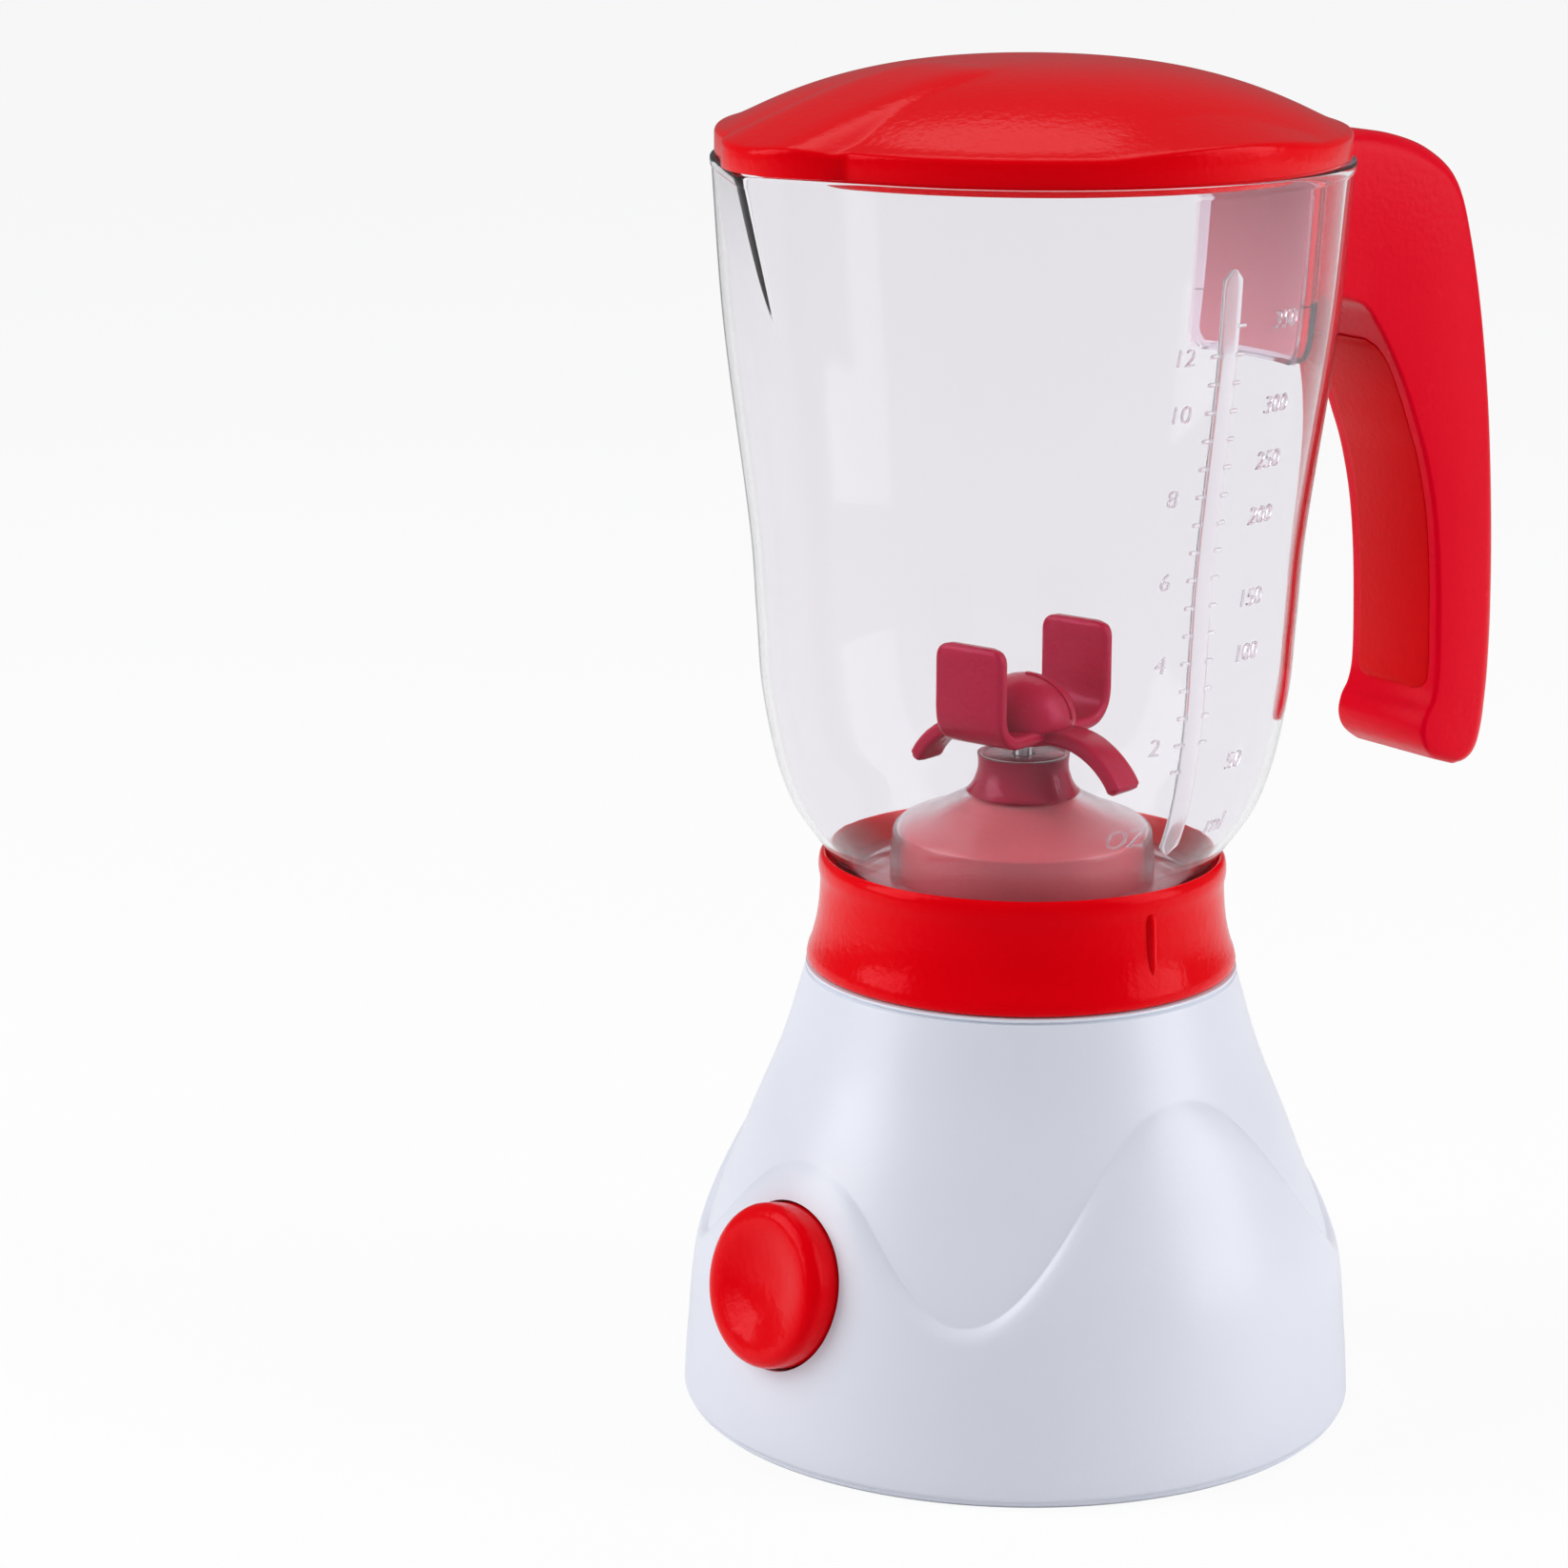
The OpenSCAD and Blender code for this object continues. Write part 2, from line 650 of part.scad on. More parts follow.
idler_phase = mesh_phase(output_teeth, 0, idler_direction, idler_teeth);
pinion_phase = mesh_phase(reduction_teeth, 0, motor_direction, pinion_teeth);

module motor_can() {
    color(steel) translate([motor_place[0], motor_place[1], 0]) difference() {
        union() {
            intersection() {
                translate([0, 0, frame_height - motor_length])
                    cylinder(r = motor_radius, h = motor_length);
                translate([-motor_radius - 1, -motor_flats / 2, frame_height - motor_length])
                    cube([2 * motor_radius + 2, motor_flats, motor_length]);
            }
            translate([0, 0, frame_height - tiny]) cylinder(r = 3, h = 1 + tiny);
        }
        translate([0, 0, frame_height - motor_length + 4])
            cylinder(r = motor_shaft_radius + running_fit, h = motor_length, $fn = 32);
    }
}

module motor_end_cap() {
    color(dark_plastic) translate([motor_place[0], motor_place[1], frame_height - motor_length - 1.6]) {
        intersection() {
            cylinder(r = motor_radius - 0.6, h = 1.6);
            translate([-motor_radius, -motor_flats / 2 + 0.6, 0])
                cube([2 * motor_radius, motor_flats - 1.2, 1.6]);
        }
        translate([0, 0, -0.8]) cylinder(r = 3, h = 0.8 + tiny);
    }
}

module motor_shaft() {
    color(steel) translate([motor_place[0], motor_place[1], frame_height - motor_length + 5])
        cylinder(r = motor_shaft_radius, h = motor_length - 5 + lower_gear_base - frame_height + 4,
                 $fn = 32);
}

module motor_pinion() {
    color(brass) translate([motor_place[0], motor_place[1], lower_gear_base - 0.2]) difference() {
        linear_extrude(lower_gear_face + 0.4) polygon(gear_outline(pinion_teeth, pinion_phase));
        translate([0, 0, -1]) cylinder(r = motor_shaft_radius + tiny, h = 10, $fn = 32);
    }
}

module reduction_gear() {
    color(gear_nylon) translate([idler_place[0], idler_place[1], 0]) difference() {
        union() {
            translate([0, 0, lower_gear_base]) linear_extrude(lower_gear_face)
                polygon(gear_outline(reduction_teeth, 0));
            translate([0, 0, lower_gear_base + lower_gear_face - tiny])
                linear_extrude(cover_bottom - 0.4 - lower_gear_base - lower_gear_face)
                    polygon(gear_outline(idler_teeth, idler_phase));
            translate([0, 0, frame_top + 0.3]) cylinder(r = 2.6, h = 1, $fn = 32);
        }
        cylinder(r = axle_radius + running_fit, h = 100, $fn = 32);
    }
}

module idler_axle() {
    color(steel) translate([idler_place[0], idler_place[1], frame_height + 0.3])
        cylinder(r = axle_radius, h = cover_top - frame_height - 0.6, $fn = 32);
}

module output_gear() {
    color(gear_nylon) difference() {
        union() {
            translate([0, 0, upper_gear_base]) linear_extrude(upper_gear_face)
                polygon(gear_outline(output_teeth, 0));
            translate([0, 0, frame_top + 0.3])
                cylinder(r = shaft_radius + 0.9, h = upper_gear_base - frame_top, $fn = 32);
            translate([0, 0, upper_gear_base + upper_gear_face - tiny])
                cylinder(r = shaft_radius + 2, h = cover_bottom - 0.3 - upper_gear_base - upper_gear_face,
                         $fn = 32);
        }
        cylinder(r = shaft_radius + tiny, h = 100, $fn = 32);
    }
}

// Lower plate: carries the motor in a cup, the axle and the drive shaft
module gear_frame() {
    color(white_shell) difference() {
        union() {
            translate([0, 0, frame_height]) cylinder(r = frame_radius, h = frame_plate);
            translate([motor_place[0], motor_place[1], frame_height - 7])
                cylinder(r = motor_radius + 1.5, h = 7 + tiny);
            at_gearbox_screws() translate([0, 0, frame_height])
                cylinder(r = post_radius, h = cover_bottom - frame_height, $fn = 32);
        }
        translate([motor_place[0], motor_place[1], frame_height - 8])
            cylinder(r = motor_radius + 0.1, h = 8);
        translate([motor_place[0], motor_place[1], frame_height - 1])
            cylinder(r = 3.1, h = frame_plate + 2);
        translate([0, 0, frame_height - 1])
            cylinder(r = shaft_radius + running_fit, h = frame_plate + 2, $fn = 32);
        translate([idler_place[0], idler_place[1], frame_height - 1])
            cylinder(r = axle_radius + tiny, h = frame_plate + 2, $fn = 32);
        at_gearbox_screws() translate([0, 0, frame_height - 1])
            cylinder(r = screw_radius + 0.1, h = 30, $fn = 32);
    }
}

module gear_cover() {
    color(white_shell) difference() {
        translate([0, 0, cover_bottom]) cylinder(r = frame_radius, h = frame_plate);
        translate([0, 0, cover_bottom - 1])
            cylinder(r = shaft_radius + running_fit, h = frame_plate + 2, $fn = 32);
        translate([idler_place[0], idler_place[1], cover_bottom - 1])
            cylinder(r = axle_radius + tiny, h = frame_plate + 2, $fn = 32);
        at_gearbox_screws() translate([0, 0, cover_bottom - 1])
            cylinder(r = screw_radius + 0.1, h = frame_plate + 2, $fn = 32);
    }
}

module gearbox_screws() {
    color(steel) at_gearbox_screws() translate([0, 0, frame_height])
        screw(cover_top - frame_height + gearbox_screw_bite);
}

// ------------------------------------------------- collar, dome and coupling

// Outer line of the jug's inner dome, from its skirt up to its neck
dome_line = smooth_curve([
    [dome_skirt_radius, seat_height + jug_floor],
    [dome_skirt_radius - 0.2, seat_height + dome_neck_height - 13.6],
    [dome_skirt_radius - 1.1, seat_height + dome_neck_height - 10.6],
    [dome_neck_radius + 6.4, seat_height + dome_neck_height - 8.3],
    [dome_neck_radius + 1.6, seat_height + dome_neck_height - 5.6],
    [dome_neck_radius, seat_height + dome_neck_height - 2.6],
    [dome_neck_radius, seat_height + dome_neck_height]], 4);

// The same line moved under the dome's skin by depth
function dome_under(depth) = move_line(dome_line, -depth);

collar_top = base_height + collar_height;
collar_inner_radius = collar_lip_radius - 1.1;
flange_depth = 1.5;
seat_gap = 0.1;
flange_top = seat_height - seat_gap;
ledge_top = flange_top - flange_depth;
ledge_radius = jug_foot_radius - 0.8;
lip_round = 0.8;

collar_profile = [
    [collar_bottom_radius, base_height + 0.9],
    [collar_waist_radius + 1.2, base_height + 3.6],
    [collar_waist_radius + 0.35, base_height + 7],
    [collar_waist_radius, base_height + 11.5],
    [collar_lip_radius, base_height + 14.3]];

module collar() {
    color(red_plastic) {
        rotate_extrude($fn = 96) polygon(concat(
            [[deck_hole_radius + 4, base_height], [collar_bottom_radius - 0.6, base_height]],
            profile_points(collar_profile, base_height + 0.9, base_height + 14.3, 14),
            [for (a = [20:20:100])
                [collar_lip_radius - lip_round + lip_round * cos(a),
                 collar_top - lip_round + lip_round * sin(a)]],
            [[collar_inner_radius, collar_top - 0.5],
             [collar_inner_radius, ledge_top],
             [ledge_radius, ledge_top],
             [ledge_radius, ledge_top - 1.6],
             [collar_inner_radius - 1, ledge_top - 3.4],
             [collar_inner_radius - 0.6, base_height + 1.5],
             [deck_hole_radius + 4, base_height + 1.5]]));
        for (side = [-90, 90]) rotate(side) translate([collar_waist_radius - 0.25, 0, base_height + 5])
            cylinder(r = 0.7, h = 7.6, $fn = 32);
    }
}

bush_length = 3;
drive_neck_radius = dome_neck_radius - jug_floor - dome_gap;
drive_bore = drive_neck_radius - 1;
web_height = seat_height + 4;
web_thickness = 2;
dog_base = web_height + web_thickness + 0.6;
neck_end = bush_top - bush_length - 0.7;

// Points of a dome line up to height limit
function below(line, limit) = [for (q = line) if (q[1] < limit) q];

module drive_dome() {
    outer = below(dome_under(jug_floor + dome_gap), neck_end - 0.6);
    inner = below(dome_under(jug_floor + dome_gap + dome_wall), web_height);
    color(red_plastic) difference() {
        rotate_extrude($fn = 96) polygon(concat(
            [[0, web_height], [drive_bore, web_height]],
            reverse([for (q = inner) [max(q[0], drive_bore), q[1]]]),
            [[inner[0][0], ledge_top], [collar_inner_radius - slide_fit, ledge_top],
             [collar_inner_radius - slide_fit, flange_top], [outer[0][0], flange_top]],
            outer,
            [[drive_neck_radius, neck_end - 0.5], [drive_neck_radius - 0.3, neck_end],
             [0, neck_end]]));
        translate([0, 0, web_height + web_thickness]) cylinder(r = drive_bore, h = 40);
        translate([0, 0, web_height - 1])
            cylinder(r = shaft_radius + running_fit, h = web_thickness + 2, $fn = 32);
    }
}

dog_radius = drive_bore - 0.6;
dog_disc = 1.8;
prong_height = 3;
prong_angle = 70;

// Two prongs that drive, or are driven by, the other half of the coupling
module prongs(height) {
    intersection() {
        tube(shaft_radius + 0.2, dog_radius, height);
        for (a = [0, 180]) rotate(a) linear_extrude(height)
            polygon([[0, 0], 2 * dog_radius * [cos(-prong_angle / 2), sin(-prong_angle / 2)],
                     [2 * dog_radius, 0],
                     2 * dog_radius * [cos(prong_angle / 2), sin(prong_angle / 2)]]);
    }
}

module drive_shaft() {
    color(steel) translate([0, 0, frame_height + 0.2])
        cylinder(r = shaft_radius, h = dog_base + dog_disc - frame_height - 0.2, $fn = 32);
}

module drive_dog() {
    color(gear_nylon) translate([0, 0, dog_base]) {
        tube(shaft_radius + tiny, dog_radius, dog_disc);
        translate([0, 0, dog_disc - tiny]) prongs(prong_height);
    }
}

blade_dog_base = dog_base + dog_disc + prong_height + 0.4;

module blade_dog() {
    color(gear_nylon) {
        translate([0, 0, blade_dog_base]) tube(shaft_radius + tiny, dog_radius, dog_disc);
        translate([0, 0, blade_dog_base - prong_height]) rotate(90) prongs(prong_height + tiny);
    }
}

module neck_bush() {
    color(dark_plastic) translate([0, 0, bush_top - bush_length])
        tube(shaft_radius + running_fit, dome_neck_radius - jug_floor - 0.02, bush_length);
}

module blade_shaft() {
    color(steel) translate([0, 0, blade_dog_base])
        cylinder(r = shaft_radius, h = rotor_bottom + 3.5 - blade_dog_base, $fn = 32);
}

// ------------------------------------------------------------------ rotor

rotor_plate = 2.6;

// Side view of a bent blade: along X from the hub, then up
module upright_blade() {
    bend = 2.6;
    outer = blade_reach;
    foot = rotor_plate - blade_thickness;
    top = blade_height;
    rise = 1.2;
    intersection() {
        translate([0, blade_width / 2, 0]) rotate([90, 0, 0]) linear_extrude(blade_width)
            polygon(concat(
                [[0, foot]],
                [for (a = [-80:20:0])
                    [outer - bend + bend * cos(a), foot + rise + bend + bend * sin(a)]],
                [[outer, top], [outer - blade_thickness, top]],
                [for (a = [0:-20:-80])
                    [outer - bend + (bend - blade_thickness) * cos(a),
                     foot + rise + bend + (bend - blade_thickness) * sin(a)]],
                [[0, foot + blade_thickness]]));
        rotate([90, 0, 90]) linear_extrude(outer + 1) union() {
            translate([-blade_width / 2, -1]) square([blade_width, top - 1]);
            translate([-blade_width / 2 + 2, -1]) square([blade_width - 4, top + 1]);
            for (side = [-1, 1])
                translate([side * (blade_width / 2 - 2), top - 2]) circle(r = 2, $fn = 32);
        }
    }
}

// Lower arm: an arc that leaves the hub level and bends down
module lower_arm() {
    sweep = 62;
    arc = (arm_drop + 1) / (1 - cos(sweep));
    start = arm_reach - arc * sin(sweep);
    thick = blade_thickness + 0.3;
    translate([0, arm_width / 2, 0]) rotate([90, 0, 0]) linear_extrude(arm_width)
        polygon(concat(
            [[0, rotor_plate]],
            [for (k = [0:8]) let(a = sweep * k / 8)
                [start + arc * sin(a), rotor_plate - arc * (1 - cos(a))]],
            [for (k = [8:-1:0]) let(a = sweep * k / 8)
                [start + (arc - thick) * sin(a), rotor_plate - thick - (arc - thick) * (1 - cos(a))]],
            [[0, rotor_plate - thick]]));
}

module blade_rotor() {
    color(crimson) translate([0, 0, rotor_bottom]) rotate(rotor_angle) difference() {
        union() {
            cylinder(r = hub_radius - 1.2, h = rotor_plate);
            translate([0, 0, rotor_plate - 0.6]) rotate_extrude()
                polygon(concat([[0, 0], [hub_radius, 0]],
                    [for (a = [10:10:90]) [hub_radius * cos(a), 0.6 + hub_radius * 0.92 * sin(a)]]));
            for (turn = [0, 180]) {
                rotate(turn) upright_blade();
                rotate(turn + 90) lower_arm();
            }
        }
        translate([0, 0, -1]) cylinder(r = shaft_radius + tiny, h = 4.5 + tiny, $fn = 32);
    }
}

// -------------------------------------------------------------------- jug

jug_profile = [
    [jug_foot_radius, seat_height],
    [jug_foot_radius + 0.3, seat_height + 2],
    [jug_foot_radius + 1, seat_height + 4.2],
    [jug_heel_radius, seat_height + 13.7],
    [jug_body_radius - 1, seat_height + 28],
    [jug_body_radius, seat_height + 40],
    [jug_body_radius + 0.8, seat_height + 52],
    [jug_shoulder_radius, rim_height - 23.7],
    [jug_rim_radius, rim_height]];

jug_steps = 34;

// Solid of revolution inside the jug's outline, between two heights
module jug_solid(low, high, grow, steps) {
    rotate_extrude($fn = 96)
        polygon(concat([[0, low]], profile_points(jug_profile, low, high, steps, grow), [[0, high]]));
}

// Spout on the -X side: flat flanks that meet in a rounded keel
module spout(inset, lift) {
    keel = rim_height - spout_height + 1.6 * inset;
    wall = radius_at(jug_profile, keel) - inset;
    hull() {
        translate([-(spout_reach - spout_round), 0, rim_height - 0.5])
            cylinder(r = spout_round - inset, h = 0.5 + lift, $fn = 32);
        for (side = [-1, 1]) rotate(180 + side * 21)
            translate([jug_rim_radius - 1.8 - inset, 0, rim_height - 0.5])
                cylinder(r = 1, h = 0.5 + lift, $fn = 16);
        translate([-wall + 2.2, 0, keel]) sphere(r = 2, $fn = 16);
    }
}

module jug_dome_solid(line, base) {
    rotate_extrude($fn = 96)
        polygon(concat([[0, base], [line[0][0], base]], line, [[0, line[len(line) - 1][1]]]));
}

pocket_gap = 2.4;
pocket_wall = 1.2;
tongue_clearance = 0.15;
neck_slot = 16.6;

// Part of a wider jug outline, cut to the pocket's width
module pocket_slice(grow, width, low, high) {
    intersection() {
        jug_solid(low, high, grow, 6);
        translate([0, -width / 2, low - 1]) cube([100, width, high - low + 2]);
    }
}

// Slotted pocket on the +X side that the handle's tongue slides into
module handle_pocket() {
    low = rim_height - pocket_length;
    difference() {
        pocket_slice(pocket_gap + pocket_wall, pocket_width, low, rim_height);
        pocket_slice(pocket_gap, pocket_width - 2 * pocket_wall, low + pocket_wall, rim_height + tiny);
        translate([0, -neck_slot / 2, low + 3]) cube([100, neck_slot, pocket_length]);
        translate([-100, -50, low - 1]) cube([100 + jug_body_radius, 100, pocket_length + 2]);
    }
}

// Raised bar of the measuring scale, rounded at both ends
module scale_bar() {
    low = seat_height + 11;
    high = rim_height - 13;
    intersection() {
        jug_solid(low - 1, high + 1, 0.5, 16);
        rotate(scale_angle) translate([20, 0, (low + high) / 2]) rotate([90, 90, 90])
            linear_extrude(40) stadium(high - low, scale_width);
    }
}

module jug() {
    color(clear_plastic) difference() {
        union() {
            jug_solid(seat_height, rim_height, 0, jug_steps);
            jug_rim_bead();
            spout(0, 0);
            scale_bar();
            handle_pocket();
        }
        difference() {
            union() {
                jug_solid(seat_height + jug_floor, rim_height - tiny, -jug_wall, jug_steps);
                translate([0, 0, rim_height - 0.5]) cylinder(r = jug_rim_radius - jug_wall, h = 2);
                spout(jug_floor, 2);
            }
            jug_dome_solid(dome_line, seat_height);
        }
        difference() {
            jug_dome_solid(dome_under(jug_floor), seat_height - 1);
            translate([0, 0, bush_top]) cylinder(r = dome_neck_radius + 1, h = 10);
        }
        translate([0, 0, bush_top - bush_length - 2])
            cylinder(r = dome_neck_radius - jug_floor, h = 20);
    }
}

module jug_rim_bead() {
    rotate_extrude($fn = 96) translate([jug_rim_radius - 0.8, rim_height - 1.5])
        square([0.8 + rim_bead, 1.5]);
}

// ----------------------------------------------------------------- handle

handle_root = jug_rim_radius + pocket_gap + pocket_wall + 0.3;
grip_inner = handle_reach - grip_depth;

// Outer and inner edges of the handle, seen from the side: [reach, height]
// Top of the handle, just above the rim
handle_top = rim_height + 0.9;
outer_edge = [
    [handle_root, handle_top - 0.1],
    [handle_root + 8, handle_top - 0.2],
    [handle_reach - 18.4, handle_top - 2.5],
    [handle_reach - 9.6, handle_top - 9],
    [handle_reach - 4.6, handle_top - 28],
    [handle_reach - 1.2, handle_top - 50],
    [handle_reach, handle_top - 70],
    [handle_reach - 0.6, handle_top - 88.5],
    [handle_reach - 2.6, handle_top - 98],
    [handle_reach - 6.4, handle_top - 100.4]];
inner_edge = [
    [handle_root, handle_top - 24],
    [handle_root + 5, handle_top - 24.4],
    [grip_inner - 13.4, handle_top - 30],
    [grip_inner - 8.6, handle_top - 39],
    [grip_inner - 4, handle_top - 50.5],
    [grip_inner - 0.8, handle_top - 66],
    [grip_inner, handle_top - 79],
    [grip_inner - 0.6, handle_top - 89],
    [grip_inner - 3.2, handle_top - 93.6],
    [grip_inner - 1.8, handle_top - 98.4]];
handle_stations = 2;

// Rounded section between an inner and an outer point
section_share = [
    [0, 0.93], [0.06, 1], [0.72, 1], [0.88, 0.93], [0.97, 0.78], [1, 0.55]];
function handle_ring(inner, outer) =
    concat(
        [for (s = section_share) let(q = inner + s[0] * (outer - inner))
            [q[0], s[1] * handle_width / 2, q[1]]],
        [for (s = reverse(section_share)) let(q = inner + s[0] * (outer - inner))
            [q[0], -s[1] * handle_width / 2, q[1]]]);

module handle_outside() {
    outer = smooth_curve(outer_edge, handle_stations);
    inner = smooth_curve(inner_edge, handle_stations);
    last = len(outer) - 1;
    skin([for (i = [0:last]) handle_ring(inner[i], outer[i])],
        [handle_root, 0, (outer[0][1] + inner[0][1]) / 2],
        [(outer[last][0] + inner[last][0]) / 2, 0, (outer[last][1] + inner[last][1]) / 2]);
}

cover_top_height = rim_height - 29;
cover_low_height = rim_height - 91;
cover_width = handle_width - 2 * handle_wall - 0.4;
cover_thickness = 1.8;
cover_inset = 0.6;
grip_line = [for (q = smooth_curve(inner_edge, 4))
    if (q[1] < cover_top_height && q[1] > cover_low_height) q];

// Strip that follows the grip's inner edge between two depths
module grip_strip(near, far, width) {
    translate([0, width / 2, 0]) rotate([90, 0, 0]) linear_extrude(width)
        polygon(concat(move_line(grip_line, -near), reverse(move_line(grip_line, -far))));
}

hinge_height = rim_height - 0.1;
knuckle_half = 5.2;
ear_width = 3;
notch_radius = knuckle_radius + 0.5;

module hinge_barrel(radius, from, length) {
    translate([hinge_reach, from + length, hinge_height]) rotate([90, 0, 0])
        cylinder(r = radius, h = length, $fn = 48);
}

module handle_shell() {
    tongue_low = rim_height - pocket_length + pocket_wall + 0.3;
    color(red_plastic) difference() {
        union() {
            handle_outside();
            difference() {
                pocket_slice(pocket_gap - tongue_clearance, pocket_width - 2 * pocket_wall - 0.4,
                             tongue_low, rim_height - 0.3);
                jug_solid(tongue_low - 1, rim_height, tongue_clearance, 6);
                translate([-100, -50, tongue_low - 1]) cube([100 + jug_body_radius, 100, 60]);
            }
            translate([handle_root - 3.4, -neck_slot / 2 + 0.2, rim_height - 23.5])
                cube([3.6, neck_slot - 0.4, 23.2]);
            for (side = [-1, 1])
                hinge_barrel(knuckle_radius, side > 0 ? knuckle_half + 0.3 : -knuckle_half - 0.3 - ear_width,
                             ear_width);
        }
        hinge_barrel(notch_radius, -knuckle_half - 0.3, 2 * knuckle_half + 0.6);
        translate([handle_root - 6, -knuckle_half - 0.3, hinge_height])
            cube([hinge_reach + notch_radius - handle_root + 6, 2 * knuckle_half + 0.6, 10]);
        hinge_barrel(hinge_pin_radius + tiny, -20, 40);
        grip_strip(-2, cover_inset + cover_thickness + 0.1, cover_width + 0.4);
        grip_strip(cover_inset, grip_depth - handle_wall - 1.5, handle_width - 2 * handle_wall - 2.4);
    }
}

module handle_cover() {
    color(red_plastic) difference() {
        grip_strip(cover_inset, cover_inset + cover_thickness, cover_width);
        grip_strip(cover_inset - 1, cover_inset + 0.4, cover_width - 7);
    }
}

// -------------------------------------------------------------------- lid

lid_radius = jug_rim_radius - lid_step;
lid_tip = spout_reach - lid_step;
lid_bottom = rim_height + 0.3;
crown_height = rim_height + lid_crown;
nose_radius = 17;

// Larger of two values, with the crease between them softened
function soft_max(a, b, soft) = (a + b + sqrt((a - b) * (a - b) + soft)) / 2;

// Distance from the axis to the lid's edge, d degrees from the spout
function edge_reach(d, inset) =
    let(r = lid_radius - inset, n = nose_radius - inset, c = lid_tip - nose_radius,
        aside = c * sin(abs(d)),
        nose = abs(d) < 90 && aside < n ? c * cos(d) + sqrt(n * n - aside * aside) : 0)
    soft_max(r, nose, 0.2);

ridge_slope = 0.42;
ridge_start = 14;
ridge_half_width = 13;
brow_height = 3.9;
shelf_height = 8.3;
shelf_start = 35;

// Height of the lid's top over the point [x, y]: a dome with a brow round its edge, a flatter shelf
// along each side and a broad ridge that runs out over the spout
function lid_height(x, y) =
    let(r = norm([x, y]),
        dome = crown_height - 11.2 * pow(r / (lid_radius + 1.2), 2.6),
        in = lid_radius - r,
        brow = rim_height + brow_height + 0.28 * in - 0.0045 * in * in,
        short = max(shelf_start + 1 - abs(y), 0),
        shelf = rim_height + shelf_height - 0.31 * (abs(y) - shelf_start) - 0.12 * short * short
            - 0.007 * x * x,
        run = max(-x - ridge_start, 0),
        ridge = crown_height - 0.2 - ridge_slope * run * run / (run + 22)
            - 2.8 * pow(y / ridge_half_width, 4),
        crown = soft_max(soft_max(dome, brow, 0.2), shelf, 0.1))
    x < 0 ? soft_max(crown, max(ridge, rim_height), 0.06) : crown;

lid_shares = [0.16, 0.32, 0.46, 0.58, 0.69, 0.79, 0.87, 0.94, 0.98, 1];
lid_edge_drop = [0, 0, 0, 0, 0, 0, 0, 0.1, 0.45, 1.2];

function lid_ring(share, inset, drop, fixed) =
    [for (i = [0:columns - 1])
        let(a = 360 * i / columns, d = abs(a - 180), r = share * edge_reach(d, inset),
            x = r * cos(a), y = r * sin(a))
        [x, y, is_undef(fixed) ? lid_height(x, y) - drop : fixed]];

module lid() {
    under_shares = [for (s = lid_shares) if (s < 0.95 || s == 1) s];
    last = len(lid_shares) - 1;
    top = [for (k = [0:last]) lid_ring(lid_shares[k], 0, lid_edge_drop[k], undef)];
    under = [for (s = under_shares) lid_ring(s, lid_wall, lid_wall + (s == 1 ? 0.9 : 0), undef)];
    inner_rim = lid_ring(1, lid_wall, 0, lid_bottom);
    outer_rim = lid_ring(1, 0, 0, lid_bottom);
    lip_radius = jug_rim_radius - jug_wall - slide_fit - 0.4;
    color(red_plastic) difference() {
        union() {
            skin(concat(under, [inner_rim], [outer_rim], reverse(top)),
                [0, 0, lid_height(0, 0) - lid_wall], [0, 0, lid_height(0, 0)]);
            translate([0, 0, rim_height - lip_depth])
                tube(lip_radius - 1.3, lip_radius, lip_depth + 1.4);
            hinge_barrel(knuckle_radius, -knuckle_half, 2 * knuckle_half);
            translate([lid_radius - 1, -knuckle_half, lid_bottom])
                cube([hinge_reach - lid_radius + 1, 2 * knuckle_half,
                      hinge_height + knuckle_radius - lid_bottom]);
        }
        hinge_barrel(hinge_pin_radius + running_fit, -20, 40);
    }
}

module lid_hinge_pin() {
    length = 2 * (knuckle_half + 0.3 + ear_width) - 0.4;
    color(steel) hinge_barrel(hinge_pin_radius, -length / 2, length);
}

// ------------------------------------------------------------------ nodes

base_housing();
bottom_plate();
battery_door();
battery_door_screw();
base_screws();
battery_cells();
battery_contacts();
motor_can();
motor_end_cap();
motor_shaft();
motor_pinion();
gear_frame();
gear_cover();
gearbox_screws();
idler_axle();
reduction_gear();
output_gear();
drive_shaft();
drive_dog();
collar();
drive_dome();
power_button();
button_spring();
button_guide();
switch_body();
switch_plunger();
jug();
neck_bush();
blade_shaft();
blade_rotor();
blade_dog();
handle_shell();
handle_cover();
lid();
lid_hinge_pin();
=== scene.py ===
import math

import bpy
import bmesh
from mathutils import Matrix, Vector


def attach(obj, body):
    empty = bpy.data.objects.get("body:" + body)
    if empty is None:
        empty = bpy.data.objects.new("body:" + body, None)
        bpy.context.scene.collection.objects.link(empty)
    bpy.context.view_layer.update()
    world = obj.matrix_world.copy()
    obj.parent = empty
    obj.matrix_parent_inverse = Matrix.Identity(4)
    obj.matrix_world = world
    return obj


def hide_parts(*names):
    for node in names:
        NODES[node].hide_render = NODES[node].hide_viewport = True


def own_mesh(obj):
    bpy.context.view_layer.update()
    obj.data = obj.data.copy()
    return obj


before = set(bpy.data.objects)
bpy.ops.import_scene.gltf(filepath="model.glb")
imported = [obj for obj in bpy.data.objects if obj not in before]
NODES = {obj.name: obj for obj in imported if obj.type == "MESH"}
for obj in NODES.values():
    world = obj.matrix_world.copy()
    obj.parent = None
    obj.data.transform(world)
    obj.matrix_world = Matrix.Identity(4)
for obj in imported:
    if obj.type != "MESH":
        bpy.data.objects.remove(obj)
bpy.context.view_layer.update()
MM = 0.001
bpy.context.scene.view_settings.view_transform = "Standard"

